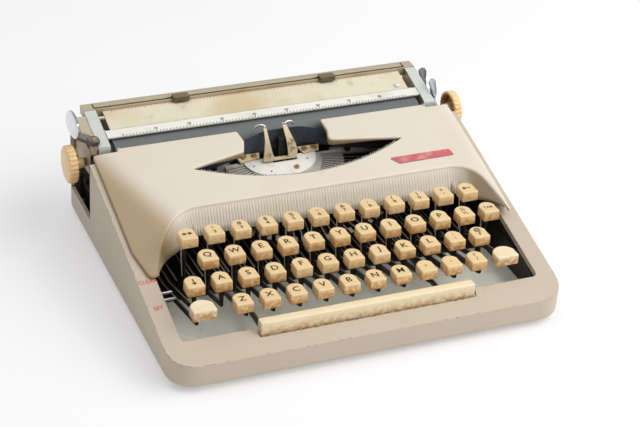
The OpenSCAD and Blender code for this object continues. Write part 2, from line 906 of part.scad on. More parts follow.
module ink_ribbon() {
    left = ribbon_path(-1, packs[0]);
    right = ribbon_path(1, packs[1]);
    path = concat(left, [for (i = [3:-1:0]) right[i]]);
    color("#33363f")
        machine()
            for (i = [0:len(path) - 2])
                hull() {
                    ribbon_edge(path[i]);
                    ribbon_edge(path[i + 1]);
                }
}

// Outline of a carriage end plate, its folded edge and the outer plate on the left
module end_outline() {
    polygon([
        [end_front_y, bed_z], [end_back_y, bed_z], [end_back_y, back_wall_h + 2.5],
        [back_bar_y + back_bar_d, back_bar_z], [back_bar_y + back_bar_d, back_bar_z + back_bar_h - 1],
        [back_bar_y, rim_z(back_bar_y)], [end_front_y + 2.5, rim_z(end_front_y + 2.5)],
        [end_front_y, rim_z(end_front_y) - 2.5]
    ]);
}

module fold_outline(front_z) {
    t = fold_t;
    y = end_front_y;
    polygon([
        [y, front_z], [y, rim_z(y) - 2.5], [y + 2.5, rim_z(y + 2.5)], [back_bar_y, rim_z(back_bar_y)],
        [back_bar_y, rim_z(back_bar_y) - t], [y + 3, rim_z(y + 3) - t],
        [y + t, rim_z(y) - 3.5], [y + t, front_z]
    ]);
}

module housing_outline() {
    y = lever_pivot[1] - 2.5;
    polygon([
        [y, platen_z - 6], [end_back_y, platen_z - 6], [end_back_y, rim_z(end_back_y)], [y, rim_z(y)]
    ]);
}

module housing_top_outline() {
    y0 = lever_pivot[1] - 2.5;
    y1 = end_back_y;
    t = housing_t;
    polygon([[y0, rim_z(y0) - t], [y1, rim_z(y1) - t], [y1, rim_z(y1)], [y0, rim_z(y0)]]);
}

module carriage_frame() {
    w = end_x + end_t;
    color("#b6ab91")
        machine()
            difference() {
                union() {
                    for (s = [-1, 1]) {
                        upright(s > 0 ? end_x : -w, end_t)
                            end_outline();
                        upright(s > 0 ? end_x : -end_x - fold_w, fold_w)
                            fold_outline(platen_z - 8);
                    }
                    // Left housing with the boss and pin of the return lever
                    upright(-housing_x, housing_t)
                        housing_outline();
                    upright(-housing_x, housing_x - end_x)
                        housing_top_outline();
                    translate([lever_pivot[0], lever_pivot[1], boss_z])
                        cylinder(h = hub_z - slide_gap - boss_z, d = boss_dia);
                    translate([lever_pivot[0], lever_pivot[1], boss_z])
                        cylinder(h = hub_z + boss_h - boss_z, d = pivot_dia);
                    // Channel across the back that the margin stops run on
                    difference() {
                        translate([-end_x - fold_w, back_bar_y, back_bar_z])
                            cube([2 * (end_x + fold_w), back_bar_d, back_bar_h]);
                        translate([-end_x, back_bar_y + rail_wall, back_bar_z + rail_wall])
                            cube([2 * end_x, back_bar_d - 2 * rail_wall, back_bar_h]);
                    }
                    // Bed with lips on both sides of each rail
                    translate([-w, rail_ys[0] - rail_w / 2 - slide_gap - lip_t, bed_z])
                        cube([2 * w, rail_ys[1] - rail_ys[0] + rail_w + 2 * (slide_gap + lip_t), bed_t]);
                    for (y = rail_ys, s = [-1, 1])
                        translate([-w, y + s * lip_out - lip_t / 2, rail_z + lip_t])
                            cube([2 * w, lip_t, rail_h]);
                    // Pins of the two release levers
                    for (p = [paper_pivot, carriage_pivot])
                        along_x(end_x, release_x + release_t + 1, p[0], p[1], pin_dia);
                }
                along_x(-case_w, case_w, platen_y, platen_z, platen_shaft_dia + 2 * run_fit);
                along_x(-case_w, case_w, platen_y, feed_z, pin_dia + 2 * run_fit);
                along_x(-w - 1, w + 1, bail_pivot[0], bail_pivot[1], pin_dia + 2 * run_fit);
            }
}

// Sheet that leads the paper round the back of the platen
module paper_table() {
    turn = 46;
    in_r = platen_r + 1.5;
    c = [platen_y, platen_z];
    back_y = back_bar_y - slide_gap;
    top_y = platen_y + (in_r + 0.6) * cos(turn) + 0.2;
    color("#dcdcc8")
        machine()
            upright(-platen_l / 2 + 1.5, platen_l - 3)
                polygon(concat(
                    arc(c, in_r, -20, turn, 12),
                    [[top_y, rim_z(top_y) - 1.5], [back_y, rim_z(back_y) - 1.5]],
                    [[back_y, rim_z(back_y) - 2.5], [top_y + 1.2, rim_z(top_y) - 2.5]],
                    arc(c, in_r + 1, turn, -20, 12)
                ));
}

// Toothed outline: n teeth between radii r0 and r1
module toothed(n, r0, r1) {
    polygon([
        for (i = [0:2 * n - 1])
            let (r = i % 2 == 0 ? r1 : r0, a = 180 * i / n) [r * cos(a), r * sin(a)]
    ]);
}

module platen() {
    color("#5d6061")
        machine() {
            along_x(-platen_l / 2, platen_l / 2, platen_y, platen_z, 2 * platen_r);
            along_x(-knob_span / 2 + 1, knob_span / 2 - 1, platen_y, platen_z, platen_shaft_dia);
            // Line-space ratchet
            translate([-platen_l / 2 - 3, platen_y, platen_z])
                rotate([0, 90, 0])
                    linear_extrude(3.5)
                        toothed(30, 9.5, 11);
        }
}

module knob() {
    rotate([0, 90, 0])
        difference() {
            union() {
                difference() {
                    linear_extrude(knob_w)
                        toothed(36, knob_r - 0.6, knob_r);
                    translate([0, 0, -1])
                        cylinder(h = knob_w - 1.5, r = knob_r - 2.2);
                }
                cylinder(h = knob_w - 1, r = platen_shaft_dia / 2 + 2);
            }
            translate([0, 0, -1])
                cylinder(h = knob_w, d = platen_shaft_dia + 2 * run_fit);
        }
}

module platen_knobs() {
    color(CREAM)
        machine()
            for (s = [0, 1])
                mirror([s, 0, 0])
                    translate([knob_span / 2 - knob_w, platen_y, platen_z])
                        knob();
}

module feed_roller() {
    color(BLACK)
        machine() {
            along_x(-end_x - end_t, end_x + end_t, platen_y, feed_z, pin_dia);
            for (x = [-2:2])
                along_x(x * platen_l / 5 - 14, x * platen_l / 5 + 14, platen_y, feed_z, 2 * feed_r);
        }
}

module return_lever() {
    c = [lever_pivot[0] - 10, lever_pivot[1] + 14];
    z = platen_z + knob_r + disc_r + 0.6;
    color("#c9ccd0")
        machine()
            difference() {
                union() {
                    translate([lever_pivot[0], lever_pivot[1], hub_z])
                        cylinder(h = 4.3, d = 9);
                    translate([0, 0, hub_z + 0.8])
                        linear_extrude(3)
                            polygon([
                                [lever_pivot[0] + 2, lever_pivot[1] + 3],
                                [lever_pivot[0] - 3, lever_pivot[1] - 3],
                                [c[0] - 1, c[1] - 7], [c[0] - 1, c[1] - 1], [c[0] + 1, c[1] - 1]
                            ]);
                    along_x(c[0] - 1.2, c[0] + 1.2, c[1], z, 2 * disc_r);
                }
                translate([lever_pivot[0], lever_pivot[1], hub_z - 1])
                    cylinder(h = tall, d = pivot_dia + 2 * run_fit);
            }
}

module paper_bail() {
    y = platen_y + 4.5;
    color("#e8e6dc")
        machine() {
            on_rim(y)
                translate([-end_x + 1.2, -bail_w / 2, -0.7])
                    cube([2 * (end_x - 1.2), bail_w, 1.2]);
            for (s = [0, 1])
                mirror([s, 0, 0]) {
                    upright(end_x - 3.2, 2)
                        union() {
                            translate(bail_pivot)
                                circle(3.2);
                            polygon([
                                [bail_pivot[0] - 2, bail_pivot[1] - 2],
                                [bail_pivot[0] + 1, bail_pivot[1] + 2.8],
                                [y + 3, rim_z(y + 3) + 0.5],
                                [y - 3, rim_z(y - 3) + 0.5],
                                [y - 3, rim_z(y - 3) - 1]
                            ]);
                        }
                    along_x(end_x - 2, end_x + end_t, bail_pivot[0], bail_pivot[1], pin_dia);
                }
        }
}

// Clip that straddles the front lip of the back channel
module margin_stop(x) {
    y = back_bar_y;
    top = back_bar_z + back_bar_h;
    g = slide_gap;
    color(STEEL)
        machine()
            upright(x - margin_w / 2, margin_w)
                polygon([
                    [y - margin_out, top - rail_wall], [y - g, top - rail_wall], [y - g, top + g],
                    [y + rail_wall + g, top + g], [y + rail_wall + g, top - margin_out],
                    [y + rail_wall + margin_over, top - margin_out],
                    [y + rail_wall + margin_over, top + margin_over], [y - margin_out, top + margin_over]
                ]);
}

// Finger lever on a pin of the right end plate, with a leaning tab turned outwards
module release_lever(pivot, tip) {
    color("#55585c")
        machine()
            difference() {
                union() {
                    upright(release_x, release_t)
                        union() {
                            translate(pivot)
                                circle(4);
                            polygon([
                                [pivot[0] - 3, pivot[1]], [pivot[0] + 3, pivot[1]],
                                [tip[0] + 3, tip[1]], [tip[0] - 3, tip[1]]
                            ]);
                        }
                    upright(release_x, release_tip_w)
                        polygon([
                            [tip[0] - 10.4, tip[1] - 10.8], [tip[0] - 11.6, tip[1] - 9.2],
                            [tip[0] + 3.4, tip[1] + 1.8], [tip[0] + 4.6, tip[1] + 0.2]
                        ]);
                }
                along_x(0, case_w, pivot[0], pivot[1], pin_dia + 2 * run_fit);
            }
}

// Slide with two finger rods beside the left end of the keyboard
module tab_set_lever() {
    g = slide_gap;
    color(STEEL)
        machine() {
            translate([-plate_x - plate_t - 1, tab_y - tab_l / 2, tab_z - tab_h / 2 + g])
                cube([plate_t + 1 + g, tab_l, tab_h - 2 * g]);
            translate([-plate_x + g, tab_y - tab_l / 2, tab_z - tab_h])
                cube([1.6, tab_l, 2 * tab_h]);
            for (s = [-1, 1])
                along_x(-plate_x + g, -plate_x + 14, tab_y + s * 4, tab_z + 1.2, 2);
        }
}

lower_case();
rubber_feet();
chassis_frame();
keyboard_deck();
key_pivot_shaft();
top_cover();
type_segment();
typebars();
ribbon_vibrator();
spool(-1, packs[0]);  // ribbon_spool_left
spool(1, packs[1]);  // ribbon_spool_right
ink_ribbon();
carriage_frame();
paper_table();
platen();
platen_knobs();
feed_roller();
return_lever();
paper_bail();
margin_stop(-margin_x);  // margin_stop_left
margin_stop(margin_x);  // margin_stop_right
release_lever(paper_pivot, paper_tip);  // paper_release_lever
release_lever(carriage_pivot, carriage_tip);  // carriage_release_lever
tab_set_lever();
keys(NUMBER, -1, -1);  // margin_release_key
keys(NUMBER, row_keys, row_keys);  // backspace_key
tab_key();
keys(HOME, -1, -1);  // shift_lock_key
shift_keys();
space_bar();
keys(NUMBER, 0, row_keys - 1);  // number_row_keys
keys(UPPER, row_keys, row_keys);  // fraction_key
keys(HOME, len(A_LETTERS), row_keys);  // home_row_sign_keys
keys(BOTTOM, len(Z_LETTERS), row_keys - 1);  // bottom_row_sign_keys
for (i = [0:len(Q_LETTERS) - 1])
    keys(UPPER, i, i);
for (i = [0:len(A_LETTERS) - 1])
    keys(HOME, i, i);
for (i = [0:len(Z_LETTERS) - 1])
    keys(BOTTOM, i, i);
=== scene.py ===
"""Looks of a portable typewriter: a beige enamelled case with cream keys on a pale floor.

Shapes are given in millimetres, X to the right, Z up and Y from the case's front edge to the back.
"""

from __future__ import annotations

import json
import logging
import math
from dataclasses import dataclass, field
from enum import Enum
from typing import Callable, Iterable, Optional, Sequence

import bmesh
import bpy
from mathutils import Matrix, Vector
from mathutils.geometry import delaunay_2d_cdt

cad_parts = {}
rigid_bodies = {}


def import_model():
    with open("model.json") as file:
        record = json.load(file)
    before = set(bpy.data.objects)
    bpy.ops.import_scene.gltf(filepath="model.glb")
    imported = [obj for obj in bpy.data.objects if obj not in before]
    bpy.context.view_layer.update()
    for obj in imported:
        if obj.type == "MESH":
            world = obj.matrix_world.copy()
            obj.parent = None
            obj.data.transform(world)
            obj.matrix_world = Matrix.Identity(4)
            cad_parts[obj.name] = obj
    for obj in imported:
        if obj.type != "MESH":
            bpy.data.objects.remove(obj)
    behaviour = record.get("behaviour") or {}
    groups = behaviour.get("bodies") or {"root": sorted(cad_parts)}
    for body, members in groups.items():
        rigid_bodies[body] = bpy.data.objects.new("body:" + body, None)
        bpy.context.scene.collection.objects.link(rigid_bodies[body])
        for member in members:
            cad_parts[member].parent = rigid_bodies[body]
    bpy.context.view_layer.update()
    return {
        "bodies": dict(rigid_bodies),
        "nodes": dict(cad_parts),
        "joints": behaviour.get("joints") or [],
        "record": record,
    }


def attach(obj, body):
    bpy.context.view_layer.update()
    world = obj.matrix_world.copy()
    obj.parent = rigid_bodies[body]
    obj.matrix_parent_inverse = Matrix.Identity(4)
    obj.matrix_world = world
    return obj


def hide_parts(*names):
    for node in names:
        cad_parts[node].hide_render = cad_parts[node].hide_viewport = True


LOG = logging.getLogger("typewriter")
Point = tuple[float, float, float]
Plan = tuple[float, float]

MM = 0.001
CASE_W = 287.0
CASE_D = 257.0
RIM_FRONT_Z = 21.1
RIM_SLOPE = math.tan(math.radians(14.2))
SHAFT_Y = 236.0
SHAFT_Z = 11.0
LEVER_RISE = 0.0445
PLATEN_Y = 211.0
PLATEN_Z = 58.79


def rim_z(y: float) -> float:
    """Height of the rim's plane at distance y from the front."""
    return RIM_FRONT_Z + y * RIM_SLOPE


def lever_z(y: float) -> float:
    """Height of the key levers' middle at distance y from the front."""
    return SHAFT_Z + (SHAFT_Y - y) * LEVER_RISE


def smooth_step(low: float, high: float, value: float) -> float:
    """Eased rise from 0 at low to 1 at high."""
    t = min(1.0, max(0.0, (value - low) / (high - low)))
    return t * t * (3.0 - 2.0 * t)


def smooth_min(a: float, b: float, softness: float) -> float:
    """Smaller of two heights, with the edge between them rounded over softness."""
    h = max(softness - abs(a - b), 0.0) / softness
    return min(a, b) - h * h * softness / 4.0


def linear_rgba(code: str) -> tuple[float, float, float, float]:
    """Linear colour of an sRGB code.

    Args:
        code: Six hex digits with a leading hash.

    Returns:
        Red, green and blue in linear light, and an alpha of one.
    """
    parts = [int(code[i : i + 2], 16) / 255.0 for i in (1, 3, 5)]
    r, g, b = (c / 12.92 if c <= 0.04045 else ((c + 0.055) / 1.055) ** 2.4 for c in parts)
    return r, g, b, 1.0


class Slot(Enum):
    """Material slots of the record; each piece is seated with one."""

    CASE = "case_paint"
    COVER = "cover_paint"
    DECK = "deck_paint"
    TABLE = "table_paint"
    CARRIAGE = "carriage_plate"
    STEEL = "bright_steel"
    LEVER = "lever_plate"
    VIBRATOR = "vibrator_plate"
    CHROME = "chrome_plate"
    SCALE = "scale_strip"
    KEYS = "key_plastic"
    RIBBON = "ribbon_cloth"


@dataclass(frozen=True)
class Patch:
    """A second tone laid over a finish by a noise pattern.

    Args:
        colour: Tone of the patches.
        size: Width of a patch in millimetres.
        low: Noise level at which the tone starts.
        high: Noise level at which it is full.
        strength: Share of the tone where it is full.
        stretch: Factors on the pattern's frequency along X, Y and Z.
    """

    colour: str
    size: float
    low: float = 0.45
    high: float = 0.7
    strength: float = 0.5
    stretch: Point = (1.0, 1.0, 1.0)


@dataclass(frozen=True)
class Finish:
    """A surface: what it is made of, how it was made and how use has marked it, with the painted shade and
    highlights that some of its tones stand for.

    Args:
        name: Material and how it was made.
        colour: Base tone.
        roughness: Roughness of the top layer.
        metallic: One for bare metal.
        ior: Index of refraction, kept at the default for metal.
        patches: Tones laid over the base by noise.
        grain: Size and height of the surface's relief in millimetres.
        corner_shade: Tone of the painted shade in the corners, creases and gaps that ambient occlusion finds,
            and its reach in millimetres.
        chips: Tone of the bare places along edges, and their reach in millimetres.
        wear_and_shade: Tone where the mesh's wear_and_shade_share attribute is one: browning on the keys, the
            space bar and the knobs, and painted shade on the cover.
        blots: Size in millimetres of the blots that break up the wear_and_shade tone, or none.
        upward: Tone of the faces that look up: a painted highlight on the metal finishes, and dust on the
            black enamel.
        coat: Weight of a clear top coat.
        sheen: Weight of the fuzz on cloth.
        scatter: Depth in millimetres that light runs into the material.
    """

    name: str
    colour: str
    roughness: float
    metallic: float = 0.0
    ior: float = 1.5
    patches: tuple[Patch, ...] = ()
    grain: Optional[tuple[float, float]] = None
    corner_shade: Optional[tuple[str, float]] = None
    chips: Optional[tuple[str, float]] = None
    wear_and_shade: Optional[str] = None
    blots: float = 0.0
    upward: Optional[str] = None
    coat: float = 0.0
    sheen: float = 0.0
    scatter: float = 0.0

    def material(self) -> bpy.types.Material:
        """Blender material of this finish, made once.

        Returns:
            The material.
        """
        made = bpy.data.materials.get(self.name)
        if made:
            return made
        mat = bpy.data.materials.new(self.name)
        mat.use_nodes = True
        tree = mat.node_tree
        shader = tree.nodes["Principled BSDF"]
        shader.inputs["Roughness"].default_value = self.roughness
        shader.inputs["Metallic"].default_value = self.metallic
        if not self.metallic:
            shader.inputs["IOR"].default_value = self.ior
        shader.inputs["Coat Weight"].default_value = self.coat
        shader.inputs["Sheen Weight"].default_value = self.sheen
        if self.scatter:
            shader.inputs["Subsurface Weight"].default_value = 0.15
            shader.inputs["Subsurface Radius"].default_value = (1.0, 0.6, 0.3)
            shader.inputs["Subsurface Scale"].default_value = self.scatter * MM
        self._tone(tree, shader)
        if self.grain:
            size, height = self.grain
            noise = add_node(tree, "ShaderNodeTexNoise", Scale=1.0 / (size * MM), Detail=2.0)
            add_node(tree, "ShaderNodeTexCoord", to={"Object": noise.inputs["Vector"]})
            bump = add_node(tree, "ShaderNodeBump", Strength=0.6, Distance=height * MM)
            tree.links.new(noise.outputs["Fac"], bump.inputs["Height"])
            tree.links.new(bump.outputs["Normal"], shader.inputs["Normal"])
        return mat

    def _tone(self, tree: bpy.types.NodeTree, shader: bpy.types.Node) -> None:
        """Builds the base colour from the base tone and all that lies over it.

        Args:
            tree: Node tree of the material.
            shader: Its surface shader.
        """
        layers: list[tuple[str, bpy.types.NodeSocket]] = []
        for patch in self.patches:
            layers.append((patch.colour, patch_factor(tree, patch)))
        # Faces that look up take the upward tone: a painted highlight on the metal finishes, and dust on the
        # black enamel.
        if self.upward:
            axis = add_node(tree, "ShaderNodeSeparateXYZ")
            add_node(tree, "ShaderNodeNewGeometry", to={"Normal": axis.inputs[0]})
            layers.append((self.upward, ramp(tree, axis.outputs["Z"], 0.75, 0.95, 1.0)))
        # Per-point share of the darker tone: browning on the keys, space bar and knobs, and painted shade on
        # the cover.
        if self.wear_and_shade:
            wear_and_shade_share = add_node(tree, "ShaderNodeAttribute", settings={"attribute_name": "wear_and_shade_share"})
            share = wear_and_shade_share.outputs["Fac"]
            if self.blots:
                mottle = add_node(tree, "ShaderNodeMath", settings={"operation": "MULTIPLY"})
                tree.links.new(share, mottle.inputs[0])
                noise = add_node(tree, "ShaderNodeTexNoise", Scale=1.0 / (self.blots * MM), Detail=5.0)
                add_node(tree, "ShaderNodeTexCoord", to={"Object": noise.inputs["Vector"]})
                tree.links.new(ramp(tree, noise.outputs["Fac"], 0.1, 0.75, 1.3), mottle.inputs[1])
                share = mottle.outputs["Value"]
            layers.append((self.wear_and_shade, ramp(tree, share, 0.0, 1.2 if self.blots else 1.0, 1.0)))
        # Painted shade: the corners, creases and gaps that ambient occlusion finds take a darker tone.
        if self.corner_shade:
            colour, reach = self.corner_shade
            corner = add_node(
                tree, "ShaderNodeAmbientOcclusion", settings={"samples": 4}, Distance=reach * MM
            )
            layers.append((colour, ramp(tree, corner.outputs["AO"], 0.75, 0.1, 0.8)))
        if self.chips:
            layers.append((self.chips[0], chip_factor(tree, self.chips[1])))
        base = shader.inputs["Base Color"]
        base.default_value = linear_rgba(self.colour)
        last: Optional[bpy.types.NodeSocket] = None
        for colour, factor in layers:
            mix = add_node(tree, "ShaderNodeMix", settings={"data_type": "RGBA"})
            mix.inputs[6].default_value = linear_rgba(self.colour)
            mix.inputs[7].default_value = linear_rgba(colour)
            tree.links.new(factor, mix.inputs[0])
            if last:
                tree.links.new(last, mix.inputs[6])
            last = mix.outputs[2]
        if last:
            tree.links.new(last, base)


def add_node(
    tree: bpy.types.NodeTree,
    kind: str,
    settings: Optional[dict] = None,
    to: Optional[dict] = None,
    **values: float,
) -> bpy.types.Node:
    """Adds one shader node.

    Args:
        tree: Node tree that it goes into.
        kind: Blender's name for the node.
        settings: Properties of the node.
        to: Sockets that its named outputs are linked to.
        **values: Values of its named inputs.

    Returns:
        The node.
    """
    node = tree.nodes.new(kind)
    for key, value in (settings or {}).items():
        setattr(node, key, value)
    for key, value in values.items():
        node.inputs[key].default_value = value
    for key, socket in (to or {}).items():
        tree.links.new(node.outputs[key], socket)
    return node


def ramp(
    tree: bpy.types.NodeTree, source: bpy.types.NodeSocket, low: float, high: float, top: float
) -> bpy.types.NodeSocket:
    """Maps a value from low to high onto 0 to top, eased and clamped.

    Args:
        tree: Node tree that it goes into.
        source: Socket that gives the value.
        low: Value that gives 0.
        high: Value that gives top.
        top: Largest result.

    Returns:
        Socket of the mapped value.
    """
    node = add_node(tree, "ShaderNodeMapRange", settings={"interpolation_type": "SMOOTHSTEP"})
    node.inputs["From Min"].default_value = low
    node.inputs["From Max"].default_value = high
    node.inputs["To Max"].default_value = top
    tree.links.new(source, node.inputs["Value"])
    return node.outputs["Result"]


def patch_factor(tree: bpy.types.NodeTree, patch: Patch) -> bpy.types.NodeSocket:
    """Noise mask of a patch tone, in the row frame.

    Args:
        tree: Node tree that it goes into.
        patch: The tone.

    Returns:
        Socket of the mask.
    """
    noise = add_node(tree, "ShaderNodeTexNoise", Scale=1.0 / (patch.size * MM), Detail=4.0)
    stretch = add_node(tree, "ShaderNodeMapping", to={"Vector": noise.inputs["Vector"]})
    stretch.inputs["Scale"].default_value = patch.stretch
    add_node(tree, "ShaderNodeTexCoord", to={"Object": stretch.inputs["Vector"]})
    return ramp(tree, noise.outputs["Fac"], patch.low, patch.high, patch.strength)


def chip_factor(tree: bpy.types.NodeTree, reach: float) -> bpy.types.NodeSocket:
    """Mask of small bare places: where a rounded normal leaves the true one, broken up by noise.

    Args:
        tree: Node tree that it goes into.
        reach: Reach of the places from an edge in millimetres.

    Returns:
        Socket of the mask.
    """
    dot = add_node(tree, "ShaderNodeVectorMath", settings={"operation": "DOT_PRODUCT"})
    add_node(tree, "ShaderNodeBevel", to={"Normal": dot.inputs[0]}, Radius=reach * MM)
    add_node(tree, "ShaderNodeNewGeometry", to={"Normal": dot.inputs[1]})
    edge = ramp(tree, dot.outputs["Value"], 0.985, 0.93, 1.0)
    spots = add_node(tree, "ShaderNodeTexNoise", Scale=1.0 / (4.0 * MM), Detail=3.0)
    add_node(tree, "ShaderNodeTexCoord", to={"Object": spots.inputs["Vector"]})
    both = add_node(tree, "ShaderNodeMath", settings={"operation": "MULTIPLY"})
    tree.links.new(edge, both.inputs[0])
    tree.links.new(ramp(tree, spots.outputs["Fac"], 0.56, 0.62, 0.9), both.inputs[1])
    return both.outputs["Value"]


# Sprayed and baked enamel: an even warm beige with a little orange peel; a darker tan laid on as painted
# shade on the left cheek and the turned-down edges, and painted shade in its corners and creases
COVER_ENAMEL = Finish(
    "enamel_baked_warm_beige",
    "#DED4C2",
    0.42,
    patches=(Patch("#D2C2A4", 70.0, 0.45, 0.75, 0.4), Patch("#C4B090", 9.0, 0.64, 0.76, 0.2)),
    grain=(1.2, 0.012),
    corner_shade=("#9C8A6C", 1.6),
    wear_and_shade="#A08760",
    coat=0.08,
)
# The same enamel on the pressed case, drawn greyer and darker than the cover's as painted shade on its walls,
# with dark chips along its edges and painted shade in its corners
CASE_ENAMEL = Finish(
    "enamel_baked_grey_beige",
    "#C3B5A1",
    0.5,
    patches=(Patch("#B7A892", 60.0, 0.45, 0.75, 0.35), Patch("#AC9B81", 7.0, 0.64, 0.76, 0.22)),
    grain=(1.2, 0.012),
    corner_shade=("#7D6C54", 5.0),
    chips=("#4E4234", 1.0),
)
# Black stove enamel on stampings: near black with a dull sheen and dust on what looks up
BLACK_ENAMEL = Finish(
    "enamel_stoved_black",
    "#1B1A1A",
    0.5,
    patches=(Patch("#3A332B", 12.0, 0.5, 0.75, 0.5),),
    upward="#2C2925",
    grain=(0.8, 0.01),
)
# Pale green enamel of the deck, stained by oil and dust, with painted shade in its corners
DECK_ENAMEL = Finish(
    "enamel_sprayed_pale_green",
    "#F7F7E8",
    0.55,
    patches=(Patch("#CDD0BC", 22.0, 0.5, 0.7, 0.45), Patch("#8A8774", 6.0, 0.64, 0.74, 0.45)),
    corner_shade=("#4A463A", 4.0),
)
# Cream enamel of the paper table, yellowed in places, with painted shade in its corners
TABLE_ENAMEL = Finish(
    "enamel_sprayed_cream",
    "#DCD5BC",
    0.45,
    patches=(Patch("#C4AC78", 60.0, 0.42, 0.68, 0.65), Patch("#A9A086", 8.0, 0.6, 0.75, 0.4)),
    corner_shade=("#7C735C", 4.0),
)
# Moulded phenolic keytops: warm cream, glossy, browner down the sides than on the top and most low on the
# front
KEY_PLASTIC = Finish(
    "phenolic_moulded_cream",
    "#EACD9B",
    0.28,
    ior=1.55,
    patches=(Patch("#DDBE84", 16.0, 0.45, 0.75, 0.4),),
    wear_and_shade="#BC8A50",
    blots=3.0,
    scatter=1.0,
)
# The paler mouldings of the shift keys and the space bar
PALE_PLASTIC = Finish(
    "phenolic_moulded_ivory",
    "#EFDFBC",
    0.28,
    ior=1.55,
    patches=(Patch("#E0C795", 16.0, 0.45, 0.75, 0.4),),
    wear_and_shade="#BA8A4E",
    blots=3.0,
    scatter=1.0,
)
# Printed ink of the legends: flat black
LEGEND_INK = Finish(
    "ink_printed_black", "#1A1816", 0.6, patches=(Patch("#4A4238", 2.0, 0.6, 0.75, 0.4),)
)
# Red printing ink, faded
RED_INK = Finish("ink_printed_red", "#D8464C", 0.6, patches=(Patch("#D78C86", 3.0, 0.55, 0.75, 0.5),))
# Lacquered aluminium badge, its red faded by light
BADGE_LACQUER = Finish(
    "aluminium_lacquered_red",
    "#C7646A",
    0.38,
    patches=(Patch("#DD9C96", 7.0, 0.42, 0.7, 0.7), Patch("#B0545A", 3.0, 0.6, 0.75, 0.4)),
)
# Cold-rolled steel, nickel plated: bright with fine wear
BRIGHT_STEEL = Finish(
    "steel_nickel_plated",
    "#C9C8C2",
    0.3,
    1.0,
    patches=(Patch("#8B8678", 6.0, 0.5, 0.75, 0.5),),
)
# The slotted segment: ground steel, dull from handling
SEGMENT_STEEL = Finish(
    "steel_ground_segment",
    "#CFCCC2",
    0.45,
    0.6,
    patches=(Patch("#A39C8A", 5.0, 0.5, 0.75, 0.4),),
)
# Matt nickel of the half plate, which reads as white, with painted shade in its corners; it also makes the
# painted highlight strips on the key levers
WHITE_NICKEL = Finish(
    "steel_matt_nickel_plated",
    "#F0EDE6",
    0.5,
    0.15,
    patches=(Patch("#CFC8B8", 7.0, 0.52, 0.74, 0.4), Patch("#9C907A", 2.0, 0.66, 0.76, 0.4)),
    corner_shade=("#6B5E48", 2.5),
)
# Blackened steel levers, with a painted highlight in a pale tone on the faces that look up
LEVER_STEEL = Finish(
    "steel_blackened_stamped",
    "#2A2724",
    0.45,
    0.6,
    patches=(Patch("#4A4036", 9.0, 0.5, 0.75, 0.5),),
    upward="#8A8376",
)
# Blue-grey plating of the two release levers
BLUE_STEEL = Finish(
    "steel_plated_blue_grey",
    "#565A5E",
    0.42,
    0.35,
    patches=(Patch("#3B3E42", 5.0, 0.5, 0.75, 0.5),),
)
# The paler plating of the front release lever
PALE_STEEL = Finish(
    "steel_plated_pale_grey", "#94989C", 0.4, 0.3, patches=(Patch("#7A7E83", 5.0, 0.48, 0.74, 0.6),)
)
# Yellow zinc plating on the carriage, dulled to olive, with a painted highlight on the faces that look up and
# painted shade in its corners
ZINC_PLATE = Finish(
    "steel_zinc_yellow_passivated",
    "#C0B092",
    0.42,
    0.3,
    patches=(Patch("#9C8C62", 24.0, 0.45, 0.7, 0.6), Patch("#75684A", 5.0, 0.62, 0.74, 0.4)),
    upward="#C6BA9F",
    corner_shade=("#4B4331", 4.0),
)
# Grey-green enamel of the two folded arms at the carriage's ends, with painted shade in their corners
ARM_ENAMEL = Finish(
    "enamel_sprayed_grey_green",
    "#C9CEC6",
    0.42,
    patches=(Patch("#B4B8AC", 14.0, 0.48, 0.72, 0.5), Patch("#8F9184", 3.0, 0.64, 0.74, 0.4)),
    corner_shade=("#5C5A4C", 3.0),
    chips=("#6A665A", 0.6),
)
# Zinc die casting, dark grey, with a painted highlight in a paler tone on the faces that look up
DARK_CASTING = Finish(
    "zinc_die_cast_dark_grey",
    "#5F5B54",
    0.4,
    0.6,
    patches=(Patch("#3E3A35", 4.0, 0.5, 0.72, 0.6),),
    upward="#9A958A",
)
# Browned steel of the margin stops, with a painted highlight on the faces that look up
BROWNED_STEEL = Finish(
    "steel_browned_pressed",
    "#6F6348",
    0.45,
    0.5,
    patches=(Patch("#4B4231", 5.0, 0.48, 0.7, 0.6),),
    upward="#8D7F60",
)
# Steel typebars, dark from oil, with a painted highlight on the faces that look up
TYPEBAR_STEEL = Finish(
    "steel_hardened_typebar",
    "#39352F",
    0.4,
    0.7,
    patches=(Patch("#5E574B", 6.0, 0.5, 0.74, 0.5),),
    upward="#8B857A",
)
# Orange-cream moulding of the platen knobs, with painted shade in their hollows
KNOB_PLASTIC = Finish(
    "phenolic_moulded_orange_cream",
    "#F3D094",
    0.32,
    ior=1.55,
    patches=(Patch("#E2B674", 12.0, 0.45, 0.72, 0.45),),
    wear_and_shade="#A8763F",
    blots=5.0,
    corner_shade=("#7A5128", 2.0),
)
# Chrome plate with a little haze
CHROME = Finish(
    "steel_chrome_plated", "#D8DADC", 0.12, 1.0, patches=(Patch("#A9ABAE", 8.0, 0.5, 0.75, 0.35),)
)
# Turned brass screws
BRASS = Finish("brass_turned", "#BFA36A", 0.38, 1.0, patches=(Patch("#86703F", 2.5, 0.5, 0.7, 0.5),))
# Ivory lacquered sheet of the ribbon vibrator, with rust where it is bare and painted shade in its corners
VIBRATOR_SHEET = Finish(
    "steel_lacquered_ivory",
    "#D9C7A2",
    0.45,
    patches=(Patch("#8C6238", 5.0, 0.55, 0.68, 0.8),),
    corner_shade=("#5B4126", 3.0),
)
# Hard grey rubber of the platen, marked by type
PLATEN_RUBBER = Finish(
    "rubber_ground_grey",
    "#696C6C",
    0.62,
    patches=(
        Patch("#585B5C", 14.0, 0.45, 0.7, 0.5, (0.25, 1.0, 1.0)),
        Patch("#83837E", 3.0, 0.62, 0.74, 0.4),
    ),
    grain=(0.9, 0.015),
)
